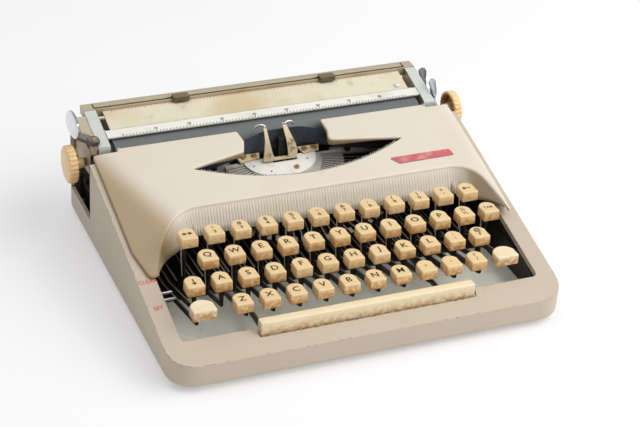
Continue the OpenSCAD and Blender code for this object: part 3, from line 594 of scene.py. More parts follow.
# Black rubber of the feet
FOOT_RUBBER = Finish(
    "rubber_moulded_black", "#1E1D1C", 0.8, patches=(Patch("#35322E", 4.0, 0.5, 0.7, 0.5),)
)
# Inked cotton ribbon: dark navy, woven, with a soft sheen
# The weave is drawn about four times too coarse, because the real one is too fine to show
RIBBON_CLOTH = Finish(
    "cotton_woven_inked",
    "#2B2F3B",
    0.8,
    patches=(Patch("#3C4250", 1.0, 0.4, 0.6, 0.6, (1.0, 1.0, 0.3)),),
    grain=(0.8, 0.06),
    sheen=0.25,
)
# White enamelled scale strip of the paper bail, with painted shade in its corners
SCALE_WHITE = Finish(
    "steel_enamelled_white",
    "#E6E5DA",
    0.35,
    patches=(Patch("#C9C2AE", 20.0, 0.5, 0.75, 0.5),),
    corner_shade=("#6F6757", 3.0),
)
# Pearl button
PEARL = Finish(
    "plastic_moulded_pearl", "#E5DFD3", 0.2, patches=(Patch("#D3C8BC", 2.0, 0.45, 0.7, 0.6),), coat=0.3
)
# Pale floor: near white, without a sheen
FLOOR_PAPER = Finish("paper_matt_white", "#F6F5F6", 0.9, patches=(Patch("#F2F1F3", 300.0, 0.4, 0.7, 0.5),))


@dataclass
class Sketch:
    """Mesh in the making: points in millimetres with Y from the case's front edge."""

    points: list[Point] = field(default_factory=list)
    faces: list[tuple[int, ...]] = field(default_factory=list)
    slots: list[int] = field(default_factory=list)
    wear_and_shade_share: dict[int, float] = field(default_factory=dict)

    def add(self, points: Iterable[Point], faces: Iterable[Sequence[int]], slot: int = 0) -> int:
        """Adds points and faces that count from them.

        Args:
            points: New points.
            faces: Faces as indices into the new points.
            slot: Index of the faces' finish.

        Returns:
            Index of the first new point.
        """
        start = len(self.points)
        self.points.extend(tuple(p) for p in points)
        for face in faces:
            self.faces.append(tuple(start + i for i in face))
            self.slots.append(slot)
        return start

    def loft(
        self,
        rings: Sequence[Sequence[Point]],
        closed: bool = True,
        caps: bool = True,
        slot: int = 0,
    ) -> int:
        """Skins a row of rings with as many points each.

        Args:
            rings: Rings of points, one after the other.
            closed: Whether each ring runs back to its first point.
            caps: Whether the first and last ring are filled.
            slot: Index of the faces' finish.

        Returns:
            Index of the first point.
        """
        n = len(rings[0])
        faces: list[Sequence[int]] = []
        for r in range(len(rings) - 1):
            for i in range(n if closed else n - 1):
                j = (i + 1) % n
                faces.append((r * n + i, r * n + j, (r + 1) * n + j, (r + 1) * n + i))
        if caps and closed:
            faces.append(tuple(range(n - 1, -1, -1)))
            faces.append(tuple((len(rings) - 1) * n + i for i in range(n)))
        return self.add([p for ring in rings for p in ring], faces, slot)

    def prism(self, outline: Sequence[Plan], low: float, high: float, axis: str = "z", slot: int = 0) -> None:
        """Extrudes an outline.

        Args:
            outline: Corners in X and Y, or in Y and Z where the axis is x.
            low: Where the extrusion starts.
            high: Where it ends.
            axis: Axis that it runs along, x or z.
            slot: Index of the faces' finish.
        """
        turn = (lambda a, b, t: (t, a, b)) if axis == "x" else (lambda a, b, t: (a, b, t))
        self.loft([[turn(a, b, t) for a, b in outline] for t in (low, high)], slot=slot)

    def box(self, low: Point, high: Point, slot: int = 0) -> None:
        """Adds a block between two corners."""
        corners = [(low[0], low[1]), (high[0], low[1]), (high[0], high[1]), (low[0], high[1])]
        self.prism(corners, low[2], high[2], slot=slot)

    def turned(
        self, profile: Sequence[Plan], centre: Point, axis: str = "x", sides: int = 48, slot: int = 0
    ) -> None:
        """Turns a profile round an axis.

        Args:
            profile: Pairs of place along the axis and radius.
            centre: Point that the profile counts from.
            axis: Axis that it turns round, x, y or z.
            sides: Facets of the turn.
            slot: Index of the faces' finish.
        """
        rings = []
        for along, r in profile:
            ring = []
            for k in range(sides):
                u, v = r * math.cos(math.tau * k / sides), r * math.sin(math.tau * k / sides)
                offset = {"x": (along, u, v), "y": (v, along, u), "z": (u, v, along)}[axis]
                ring.append(tuple(c + o for c, o in zip(centre, offset)))
            rings.append(ring)
        self.loft(rings, slot=slot)

    def tube(self, path: Sequence[Point], radius: float, sides: int = 12, slot: int = 0) -> None:
        """Sweeps a round section along a path.

        Args:
            path: Points of the middle line.
            radius: Radius of the section.
            sides: Facets of the section.
            slot: Index of the faces' finish.
        """
        rings = []
        for i, p in enumerate(path):
            ahead = Vector(path[min(i + 1, len(path) - 1)]) - Vector(path[max(i - 1, 0)])
            side = ahead.cross(Vector((0.0, 0.0, 1.0)))
            if side.length < 1e-6:
                side = Vector((1.0, 0.0, 0.0))
            side.normalize()
            up = side.cross(ahead).normalized()
            ring = []
            for k in range(sides):
                a = math.tau * k / sides
                ring.append(tuple(Vector(p) + radius * (math.cos(a) * side + math.sin(a) * up)))
            rings.append(ring)
        self.loft(rings, slot=slot)

    def screw(self, head: Point, radius: float, normal: Vector, slot: int = 0) -> None:
        """Adds a slotted cheese-head screw.

        Args:
            head: Middle of the seat under the head.
            radius: Radius of the head.
            normal: Direction that the head looks in.
            slot: Index of the faces' finish.
        """
        turn = Vector((0.0, 0.0, 1.0)).rotation_difference(normal).to_matrix()
        h = radius * 0.55
        for side in (-1.0, 1.0):
            half = [
                (radius * math.cos(a), side * max(radius * 0.18, radius * math.sin(a)))
                for a in (math.pi * k / 12 for k in range(13))
            ]
            half = half if side > 0 else half[::-1]
            rings = [
                [(x * f, y * f if abs(y) > radius * 0.2 else y, z) for x, y in half]
                for f, z in ((1.0, 0.0), (1.0, h * 0.7), (0.85, h))
            ]
            self.loft([[tuple(Vector(head) + turn @ Vector(p)) for p in r] for r in rings], slot=slot)
        self.turned([(0.0, radius * 0.9), (h * 0.45, radius * 0.9)], head, "z", 16, slot)

    def object(
        self,
        name: str,
        finishes: Sequence[Finish],
        bevel: float = 0.0,
        sharp: float = 35.0,
        segments: int = 2,
    ) -> bpy.types.Object:
        """Makes the Blender object.

        Args:
            name: Name of the piece.
            finishes: Finish of each slot.
            bevel: Rounding of the edges in millimetres.
            sharp: Angle in degrees from which an edge stays sharp.
            segments: Facets of the rounding.

        Returns:
            The object, in the row frame.
        """
        mesh = bpy.data.meshes.new(name)
        shift = Vector((0.0, -CASE_D / 2, 0.0))
        mesh.from_pydata([(Vector(p) + shift) * MM for p in self.points], [], self.faces)
        for finish in finishes:
            mesh.materials.append(finish.material())
        mesh.polygons.foreach_set("material_index", self.slots)
        # Per-point share of the darker tone: browning on keys and knobs, and painted shade on the cover.
        if self.wear_and_shade_share:
            layer = mesh.attributes.new("wear_and_shade_share", "FLOAT", "POINT")
            for i, value in self.wear_and_shade_share.items():
                layer.data[i].value = value
        work = bmesh.new()
        work.from_mesh(mesh)
        bmesh.ops.remove_doubles(work, verts=work.verts, dist=0.004 * MM)
        bmesh.ops.recalc_face_normals(work, faces=work.faces)
        work.to_mesh(mesh)
        work.free()
        mesh.shade_smooth()
        mesh.set_sharp_from_angle(angle=math.radians(sharp))
        obj = bpy.data.objects.new(name, mesh)
        bpy.context.scene.collection.objects.link(obj)
        if bevel:
            soften(obj, bevel, segments)
        return obj


def soften(obj: bpy.types.Object, width: float, segments: int = 2) -> None:
    """Rounds the edges of an object by a modifier.

    Args:
        obj: The object.
        width: Width of the rounding in millimetres.
        segments: Facets of the rounding.
    """
    rounding = obj.modifiers.new("rounded_edges", "BEVEL")
    rounding.width = width * MM
    rounding.segments = segments
    rounding.limit_method = "ANGLE"
    rounding.angle_limit = math.radians(32.0)
    rounding.harden_normals = True


def carve(body: bpy.types.Object, cutters: Sequence[bpy.types.Object]) -> None:
    """Cuts the cutters out of a body and removes them.

    Args:
        body: Object that is cut.
        cutters: Objects that are taken away from it.
    """
    for cutter in cutters:
        cut = body.modifiers.new("carve", "BOOLEAN")
        cut.object = cutter
        cut.operation = "DIFFERENCE"
        cut.solver = "EXACT"
    graph = bpy.context.evaluated_depsgraph_get()
    old = body.data
    mesh = bpy.data.meshes.new_from_object(body.evaluated_get(graph))
    body.modifiers.clear()
    body.data = mesh
    bpy.data.meshes.remove(old)
    for cutter in cutters:
        bpy.data.meshes.remove(cutter.data)


def fillet(corners: Sequence[tuple[float, float, float]], closed: bool = True, steps: int = 10) -> list[Plan]:
    """Rounds the corners of a plan outline.

    Args:
        corners: X, Y and radius of each corner.
        closed: Whether the outline runs back to its first corner.
        steps: Points on each rounded corner.

    Returns:
        Points of the outline.
    """
    out: list[Plan] = []
    n = len(corners)
    for i, (x, y, r) in enumerate(corners):
        here = Vector((x, y))
        if r <= 0.0 or (not closed and i in (0, n - 1)):
            out.append((x, y))
            continue
        back = Vector(corners[i - 1][:2]) - here
        ahead = Vector(corners[(i + 1) % n][:2]) - here
        turn = back.angle(ahead)
        reach = min(r / math.tan(turn / 2), back.length * 0.49, ahead.length * 0.49)
        start = here + back.normalized() * reach
        end = here + ahead.normalized() * reach
        for k in range(steps + 1):
            t = k / steps
            p = start * (1 - t) ** 2 + here * 2 * t * (1 - t) + end * t * t
            out.append((p.x, p.y))
    return out


def even_steps(path: Sequence[Plan], step: float, closed: bool = False) -> list[Plan]:
    """Divides the long stretches of a plan path.

    Args:
        path: Points of the path.
        step: Longest distance between two points.
        closed: Whether the path runs back to its first point.

    Returns:
        Points no farther apart than step.
    """
    out: list[Plan] = []
    ends = list(path) + ([path[0]] if closed else [])
    for a, b in zip(ends, ends[1:]):
        n = max(1, math.ceil(math.dist(a, b) / step))
        out.extend((a[0] + (b[0] - a[0]) * k / n, a[1] + (b[1] - a[1]) * k / n) for k in range(n))
    if not closed:
        out.append(path[-1])
    return out


def seat(obj: bpy.types.Object, body: str, slot: Slot, *nodes: str) -> None:
    """Lets a piece ride a body and hides the CAD nodes that it stands for.

    Args:
        obj: The piece.
        body: Body that it rides.
        slot: Not used.
        *nodes: CAD nodes that it stands for.
    """
    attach(obj, body)
    if nodes:
        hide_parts(*nodes)
    LOG.info("%s rides %s", obj.name, body)


class Lettering:
    """Outlines of signs as flat meshes, made once for each sign."""

    def __init__(self) -> None:
        """Starts with no signs."""
        self._made: dict[str, tuple[list[Plan], list[tuple[int, ...]]]] = {}

    def outline(self, sign: str) -> tuple[list[Plan], list[tuple[int, ...]]]:
        """Flat mesh of a sign, centred, with capitals one unit high.

        Args:
            sign: Characters, or a name from ARROWS.

        Returns:
            Points and faces.
        """
        if sign not in self._made:
            self._made[sign] = self._arrow(sign) if sign in ARROWS else self._text(sign)
        return self._made[sign]

    @staticmethod
    def _arrow(sign: str) -> tuple[list[Plan], list[tuple[int, ...]]]:
        """Arrow of a shaft and a barbed head for each tip.

        Args:
            sign: Name from ARROWS.

        Returns:
            Points and faces.
        """
        turn = math.radians(ARROWS[sign])
        pts = [(-0.5, -0.06), (0.2, -0.06), (0.2, -0.3), (0.6, 0.0), (0.2, 0.3), (0.2, 0.06), (-0.5, 0.06)]
        faces: list[tuple[int, ...]] = [(0, 1, 5, 6), (1, 2, 3, 4, 5)]
        if sign == "<>":
            pts += [(-0.2, -0.3), (-0.2, 0.3), (-0.6, 0.0)]
            faces += [(7, 8, 9)]
        c, s = math.cos(turn), math.sin(turn)
        return [(x * c - y * s, x * s + y * c) for x, y in pts], faces

    @staticmethod
    def _text(sign: str) -> tuple[list[Plan], list[tuple[int, ...]]]:
        """Mesh of characters in Blender's own font.

        Args:
            sign: The characters.

        Returns:
            Points and faces.
        """
        curve = bpy.data.curves.new("sign", "FONT")
        curve.body = sign
        curve.size = 1.0
        curve.resolution_u = 3
        curve.offset = 0.016
        holder = bpy.data.objects.new("sign", curve)
        bpy.context.scene.collection.objects.link(holder)
        graph = bpy.context.evaluated_depsgraph_get()
        graph.update()
        mesh = bpy.data.meshes.new_from_object(holder.evaluated_get(graph))
        pts = [(v.co.x, v.co.y) for v in mesh.vertices]
        faces = [tuple(p.vertices) for p in mesh.polygons]
        bpy.data.meshes.remove(mesh)
        bpy.data.curves.remove(curve)
        mid_x = (min(p[0] for p in pts) + max(p[0] for p in pts)) / 2
        mid_y = (min(p[1] for p in pts) + max(p[1] for p in pts)) / 2
        return [((x - mid_x) / CAP_SHARE, (y - mid_y) / CAP_SHARE) for x, y in pts], faces


ARROWS = {"<>": 0.0, "<": 180.0, "v": -90.0}
CAP_SHARE = 0.7
LETTERING = Lettering()


@dataclass
class CaseShell:
    """Pressed lower case with its rim, the notch for the space bar and the carriage gaps."""

    corner_r: float = 19.0
    wall: float = 2.6
    foot_z: float = 3.0
    floor_z: float = 5.0
    bottom_r: float = 5.0
    rim_t: float = 2.2
    lip: float = 4.5
    well_half: float = 130.5
    front_band: float = 22.0
    notch_half: float = 79.0
    notch_y: float = 14.1
    gap: Plan = (189.0, 239.0)
    gap_sill: float = 23.0
    back_z: float = 67.0
    tall: float = 110.0
    apron_half: float = 128.5
    apron_y: Plan = (81.7, 97.5)
    word_x: float = -136.4
    word_h: float = 3.1
    words: dict[str, float] = field(default_factory=lambda: {"CLEAR": 76.2, "SET": 52.6})

    def plan(self, inset: float) -> list[Plan]:
        """Outline of the case, inset from its walls.

        Args:
            inset: Distance from the walls.

        Returns:
            Points of the outline.
        """
        x, y0, y1 = CASE_W / 2 - inset, inset, CASE_D - inset
        r = (self.corner_r - inset) * 1.15
        return fillet([(-x, y0, r), (x, y0, r), (x, y1, r), (-x, y1, r)], steps=14)

    def build(self) -> None:
        """Carves the shell from a block with rounded lower edges."""
        block = Sketch()
        steps = 6
        rings = []
        for k in range(steps + 1):
            a = math.pi / 2 * k / steps
            inset = self.bottom_r * (1 - math.sin(a))
            z = self.foot_z + self.bottom_r * (1 - math.cos(a))
            rings.append([(x, y, z) for x, y in self.plan(inset)])
        rings.append([(x, y, self.tall) for x, y in self.plan(0.0)])
        block.loft(rings)
        shell = block.object("lower_case_shell", [CASE_ENAMEL])
        room = Sketch()
        low = [(x, y, self.floor_z) for x, y in self.plan(self.wall)]
        top = [(x, y, rim_z(y) - self.rim_t) for x, y in self.plan(self.wall)]
        room.loft([low, top])
        lip = Sketch()
        x, y0 = self.well_half + 1.8, self.front_band - 1.8
        y1 = CASE_D - self.wall + 5
        frame = [(-x, y0), (x, y0), (x, y1), (-x, y1)]
        lip.loft([[(a, b, rim_z(b) - self.lip) for a, b in frame], [(a, b, self.tall) for a, b in frame]])
        hollow = room.object("room", [CASE_ENAMEL])
        carve(hollow, [lip.object("lip", [CASE_ENAMEL])])
        carve(shell, [hollow, self._above_rim(), *self._openings()])
        mesh = shell.data
        # Painted shade: the floor inside the case takes the black enamel, so that the deep room behind the
        # deck reads dark.
        mesh.materials.append(BLACK_ENAMEL.material())
        for face in mesh.polygons:
            if face.normal.z > 0.9 and face.center.z < (self.floor_z + 0.2) * MM:
                face.material_index = 1
        mesh.shade_smooth()
        mesh.set_sharp_from_angle(angle=math.radians(35.0))
        soften(shell, 1.1, 3)
        seat(shell, "base", Slot.CASE, "lower_case")

    def _above_rim(self) -> bpy.types.Object:
        """Block above the rim's plane.

        Returns:
            The block, as a cutter.
        """
        cut = Sketch()
        x = CASE_W
        ends = (-40.0, CASE_D + 40.0)
        frame = [(-x, ends[0]), (x, ends[0]), (x, ends[1]), (-x, ends[1])]
        cut.loft([[(a, b, rim_z(b)) for a, b in frame], [(a, b, self.tall + 60) for a, b in frame]])
        return cut.object("above_rim", [CASE_ENAMEL])

    def _openings(self) -> list[bpy.types.Object]:
        """Well, notch and carriage gaps.

        Returns:
            A cutter for each.
        """
        out = []
        shapes = {
            "well": fillet(
                [
                    (-self.well_half, self.front_band, 4.0),
                    (self.well_half, self.front_band, 4.0),
                    (self.well_half, CASE_D - self.wall, 0.0),
                    (-self.well_half, CASE_D - self.wall, 0.0),
                ],
                steps=6,
            ),
            "notch": [
                (-self.notch_half - 2.8, self.front_band + 9),
                (-self.notch_half - 2.8, self.front_band + 0.3),
                (-self.notch_half, self.notch_y),
                (self.notch_half, self.notch_y),
                (self.notch_half + 2.8, self.front_band + 0.3),
                (self.notch_half + 2.8, self.front_band + 9),
            ],
        }
        for name, outline in shapes.items():
            cut = Sketch()
            cut.prism(outline, self.floor_z + 0.01, self.tall)
            out.append(cut.object(name, [CASE_ENAMEL]))
        gap = Sketch()
        gap.box((-CASE_W, self.gap[0], self.gap_sill), (CASE_W, self.gap[1], self.tall))
        out.append(gap.object("gap", [CASE_ENAMEL]))
        back = Sketch()
        back.box((-CASE_W, self.gap[1] - 1, self.back_z), (CASE_W, CASE_D + 20, self.tall))
        out.append(back.object("back", [CASE_ENAMEL]))
        return out

    def dress(self) -> None:
        """Lays the deck's rear apron and prints the two words beside the tabulator's finger rods."""
        apron = Sketch()
        x, (y0, y1) = self.apron_half, self.apron_y
        outline = fillet([(-x, y0, 1.0), (x, y0, 1.0), (x, y1, 6.0), (-x, y1, 6.0)], steps=6)
        apron.prism(outline, self.floor_z + 0.02, self.floor_z + 0.7)
        seat(apron.object("deck_apron", [DECK_ENAMEL], 0.2), "base", Slot.DECK)
        words = Sketch()
        for word, y in self.words.items():
            lay_sign(words, word, (self.word_x, y), self.word_h, 0.0, lambda a, b: rim_z(b) + 0.06)
        seat(words.object("tabulator_words", [RED_INK]), "base", Slot.CASE)


def lay_sign(
    sketch: Sketch,
    sign: str,
    at: Plan,
    height: float,
    turn: float,
    surface: Callable[[float, float], float],
    slot: int = 0,
) -> None:
    """Lays a sign on a surface.

    Args:
        sketch: Mesh that it goes into.
        sign: The sign.
        at: Where its middle lies.
        height: Height of a capital in millimetres.
        turn: Turn of the sign in degrees.
        surface: Height of the surface at a plan point.
        slot: Index of the ink.
    """
    points, faces = LETTERING.outline(sign)
    c, s = math.cos(math.radians(turn)), math.sin(math.radians(turn))
    laid = []
    for x, y in points:
        px = at[0] + (x * c - y * s) * height
        py = at[1] + (x * s + y * c) * height
        laid.append((px, py, surface(px, py)))
    sketch.add(laid, faces, slot)


@dataclass(frozen=True)
class EdgePoint:
    """One point of the cover's edge: its place, roll, drop, lean and rib."""

    x: float
    y: float
    roll: float
    drop: float
    lean: float = 0.0
    rib: float = 0.0


@dataclass
class Cover:
    """Crowned cover: rolled edges, the ribbed drop behind the keys and the window over the type."""

    half_w: float = 139.5
    rear_y: float = 198.5
    corner_y: float = 195.3
    corner_x: float = 121.0
    crease_y: float = 126.0
    edge_lift: float = 2.2
    crown: float = 6.0
    left_cheek: float = 42.0
    right_fold: float = 4.5
    tip_y: float = 76.0
    rib_pitch: float = 2.2
    rib_h: float = 0.38
    wall_h: float = 19.0
    sheet_t: float = 1.4
    window_x: Plan = (-75.5, 88.6)
    tip_line: float = 165.5
    bow: float = 22.5
    badge_x: Plan = (69.4, 117.6)
    badge_y: Plan = (136.6, 143.9)
    teeth: int = 84
    teeth_x: Plan = (-70.0, 82.0)

    def lift(self, x: float, y: float) -> float:
        """Height of the cover above the rim's plane.

        Args:
            x: Place across.
            y: Distance from the front.

        Returns:
            Height in millimetres.
        """
        top = self.edge_lift + self.crown * (self.rear_y - y) / (self.rear_y - self.crease_y)
        left = self.edge_lift + self.crown * (x + self.half_w) / self.left_cheek
        right = self.edge_lift + self.crown * (self.half_w - x) / self.right_fold
        return smooth_min(smooth_min(top, left, 2.2), right, 2.0)

    def surface(self, x: float, y: float) -> float:
        """Height of the cover's top at a plan point."""
        return rim_z(y) + self.lift(x, y)

    def _edge(self) -> list[EdgePoint]:
        """The cover's edge, all the way round.

        Returns:
            Points of the edge in order.
        """
        w = self.half_w
        left = [
            (-30.0, self.rear_y, 1.5), (-self.corner_x, self.rear_y, 1.0),
            (-self.corner_x, self.corner_y, 1.0), (-w, self.corner_y, 2.5),
            (-w, 101.0, 24.0), (-134.6, 77.2, 3.0), (-129.0, 76.2, 3.0),
        ]
        well = [
            (-127.4, 82.0, 0.0), (-115.8, 106.0, 50.0), (-98.0, self.crease_y, 28.0),
            (126.6, self.crease_y, 24.0), (130.6, 83.0, 0.0),
        ]
        right = [
            (131.0, 76.2, 3.0), (135.4, 76.8, 3.0), (w, 101.0, 24.0), (w, self.corner_y, 2.5),
            (self.corner_x, self.corner_y, 1.0), (self.corner_x, self.rear_y, 1.0), (35.6, self.rear_y, 1.5),
        ]
        start, end = self.window_x
        arc = [
            (end - (end - start) * k / 32, self.tip_line - self.bow * (1 - (2 * k / 32 - 1) ** 2), 0.0)
            for k in range(1, 32)
        ]
        window = [
            (36.2, 186.0, 5.0), (33.0, 175.0, 4.0), (end, self.tip_line, 4.0), *arc,
            (start, self.tip_line, 4.0), (-32.5, 175.8, 4.0), (-28.4, 187.0, 5.0),
        ]
        corners = left + well + right + window
        fine = even_steps(fillet(corners, steps=10), 1.6, closed=True)
        out = []
        run = 0.0
        for i, (x, y) in enumerate(fine):
            nxt = fine[(i + 1) % len(fine)]
            length = math.dist((x, y), nxt)
            parts = 1
            if self._ribbed(x, y) and self._ribbed(*nxt):
                parts = max(1, math.ceil(length / (self.rib_pitch / 8)))
            for k in range(parts):
                t = k / parts
                px, py = x + (nxt[0] - x) * t, y + (nxt[1] - y) * t
                out.append(self._edge_point(px, py, run + t * length))
            run += length
        return out

    def _ribbed(self, x: float, y: float) -> bool:
        """Whether the well's wall has ribs below a plan point of the edge."""
        return (104.0 if x < 0.0 else 121.5) < y < self.crease_y + 0.05 and -118.0 < x < 118.5

    def _edge_point(self, x: float, y: float, run: float) -> EdgePoint:
        """Roll, drop, lean and rib of the edge at a plan point.

        Args:
            x: Place across.
            y: Distance from the front.
            run: Distance along the edge.

        Returns:
            The point of the edge.
        """
        inside_well = self.tip_y + 2.0 < y < self.crease_y + 0.05 and -129.0 < x < 132.0
        if inside_well:
            near = smooth_step(80.0, 100.0, y)
            drop = 3.0 + (self.wall_h - 3.0) * smooth_step(77.0, 122.0, y)
            lean = 0.45 + 0.2 * smooth_step(112.0, 126.0, x)
            wave = math.sqrt(abs(math.sin(math.pi * run / self.rib_pitch))) if self._ribbed(x, y) else 0.0
            wave *= 1.0 - smooth_step(106.0, 117.0, x)
            wave *= smooth_step(104.0, 110.0, y) if x < 0.0 else 1.0
            return EdgePoint(x, y, 1.2 + 0.5 * near, drop, lean, wave * self.rib_h)
        wing = y > 164.0 and -76.0 < x < 89.5 and y < self.rear_y - 0.3 and not self._on_front_arc(x, y)
        if wing:
            inward = 1.0 - smooth_step(14.0, 60.0, abs(x - 4.0) - 12.0)
            tail = 1.0 - smooth_step(180.0, 196.0, y)
            return EdgePoint(x, y, 1.0 + 0.4 * inward * tail, 2.4 + 3.0 * inward * tail)
        return EdgePoint(x, y, 1.0, 1.9)

    def _on_front_arc(self, x: float, y: float) -> bool:
        """Whether a point lies on the window's bowed front edge."""
        return abs(y - self._arc_y(x)) < 1.2

    def _arc_y(self, x: float) -> float:
        """Distance of the window's bowed front edge from the front.

        Args:
            x: Place across.

        Returns:
            Distance in millimetres.
        """
        start, end = self.window_x
        t = (2 * x - start - end) / (end - start)
        return self.tip_line - self.bow * (1 - t * t)

    def build(self) -> None:
        """Fills the top inside its rolled edge and sweeps the edge round it."""
        edge = self._edge()
        n = len(edge)
        normals = []
        for i, e in enumerate(edge):
            a, b = edge[i - 1], edge[(i + 1) % n]
            run = Vector((b.x - a.x, b.y - a.y))
            normals.append(Vector((-run.y, run.x)).normalized() if run.length else Vector((0.0, 1.0)))
        area = sum(edge[i - 1].x * e.y - e.x * edge[i - 1].y for i, e in enumerate(edge))
        if area > 0:
            normals = [-v for v in normals]
        inner = [Vector((e.x, e.y)) - v * e.roll for e, v in zip(edge, normals)]
        sketch = Sketch()
        self._fill_top(sketch, inner)
        rings: list[list[Point]] = []
        turns = 6
        for k in range(turns + 1):
            a = math.pi / 2 * k / turns
            ring = []
            for e, v, p in zip(edge, normals, inner):
                q = p + v * e.roll * math.sin(a)
                ring.append((q.x, q.y, self.surface(q.x, q.y) - e.roll * (1 - math.cos(a))))
            rings.append(ring)
        for t in (0.04, 0.35, 0.7, 1.0):
            ring = []
            for e, v in zip(edge, normals):
                fall = max(0.2, e.drop - e.roll) * t
                out = e.lean * fall + (e.rib if t > 0.03 else 0.0)
                q = Vector((e.x, e.y)) + v * out
                ring.append((q.x, q.y, self.surface(e.x, e.y) - e.roll - fall))
            rings.append(ring)
        sketch.loft(rings, caps=False)
        # Painted shade: the cover's left cheek, its turned-down edges and the well's right corner take the
        # darker tan.
        for i, (x, y, z) in enumerate(sketch.points):
            sketch.wear_and_shade_share[i] = self._painted_shade(x, y, z)
        cover = sketch.object("cover_shell", [COVER_ENAMEL], sharp=50.0)
        sheet = cover.modifiers.new("sheet", "SOLIDIFY")
        sheet.thickness = self.sheet_t * MM
        sheet.offset = -1.0
        seat(cover, "cover", Slot.COVER, "top_cover")

    def _painted_shade(self, x: float, y: float, z: float) -> float:
        """Share of the darker tan painted as shade: the left cheek, which faces away from the light, the
        window's turned edges, and the rolled edges of the well, most at its right corner.

        Args:
            x: Place across.
            y: Distance from the front.
            z: Height.

        Returns:
            Share from 0 to 1.
        """
        fold = -100.0 - (y - self.crease_y) * 0.4
        cheek = 0.8 * smooth_step(-8.0, 24.0, fold - x)
        below = smooth_step(0.7, 2.2, self.surface(x, y) - z)
        window = y > 164.0 and -80.0 < x < 92.0
        corner = smooth_step(116.0, 124.0, x) * (y < self.crease_y)
        return max(cheek, below * (0.9 if window else 0.1 + 0.6 * corner))

    def _fill_top(self, sketch: Sketch, inner: Sequence[Vector]) -> None:
        """Fills the outline inside the rolled edge with even triangles on the crowned surface.

        Args:
            sketch: Mesh that it goes into.
            inner: Points of the outline.
        """
        count = len(inner)
        loose = []
        step = 5.0
        for i in range(int(2 * self.half_w / step)):
            for j in range(int((self.rear_y - self.tip_y) / step)):
                p = Vector((-self.half_w + step * (i + 0.5), self.tip_y + step * (j + 0.5)))
                loose.append(p)
        spots = [Vector((p.x, p.y)) for p in inner] + loose
        edges = [(i, (i + 1) % count) for i in range(count)]
        verts, _, faces, *_ = delaunay_2d_cdt(spots, edges, [list(range(count))], 1, 1e-4)
        sketch.add([(v.x, v.y, self.surface(v.x, v.y)) for v in verts], faces)

    def dress(self) -> None:
        """Adds the badge plate and the rest for the type along the window."""
        self._badge()
        self._type_rest()

    def _badge(self) -> None:
        """Plain badge plate, its edge drawn dark as painted shadow."""
        (left, right), (front, back) = self.badge_x, self.badge_y
        outline = [
            (left + 0.4, back), (left, back - 1.2), (left + 4.2, front), (right - 0.8, front + 0.5),
            (right + 0.2, front + 1.6), (right - 0.6, back - 0.8), (right - 1.4, back + 0.2),
        ]
        badge = Sketch()
        rings = []
        for inset, height in ((0.0, -0.4), (0.0, 0.35), (0.25, 0.6)):
            mid = Vector(((left + right) / 2, (front + back) / 2))
            ring = []
            for x, y in outline:
                p = mid + (Vector((x, y)) - mid) * (1 - inset / 10)
                ring.append((p.x, p.y, self.surface(p.x, p.y) + height))
            rings.append(ring)
        # Painted shadow: the badge's sides and underside take the dark casting tone.
        badge.loft(rings[:2], caps=False, slot=1)
        badge.loft(rings[1:], caps=False)
        badge.add(rings[-1], [tuple(range(len(outline)))])
        badge.add(rings[0], [tuple(range(len(outline)))], 1)
        seat(badge.object("cover_badge", [BADGE_LACQUER, DARK_CASTING]), "cover", Slot.COVER)

    def _type_rest(self) -> None:
        """Row of uneven teeth under the window's front edge."""
        comb = Sketch()
        first, last = self.teeth_x
        for k in range(self.teeth):
            x = first + (last - first) * (k + 0.5) / self.teeth
            y = self._arc_y(x)
            z = self.surface(x, y) - 0.45
            reach = 1.9 + 0.6 * math.sin(k * 2.3) * math.sin(k * 0.7)
            outline = [(x - 0.5, y - 1.0), (x + 0.5, y - 1.0), (x + 0.32, y + reach), (x - 0.32, y + reach)]
            rings = [[(a, b, z + t) for a, b in outline] for t in (-0.9, -0.15, 0.0)]
            comb.loft(rings)
        seat(comb.object("window_type_rest", [SEGMENT_STEEL]), "cover", Slot.COVER)


@dataclass(frozen=True)
class Key:
    """One key: where its top stands, its lever's sidestep and its signs."""

    x: float
    y: float
    top: float
    lever_x: float
    signs: tuple[str, ...]
    width: float = 12.2


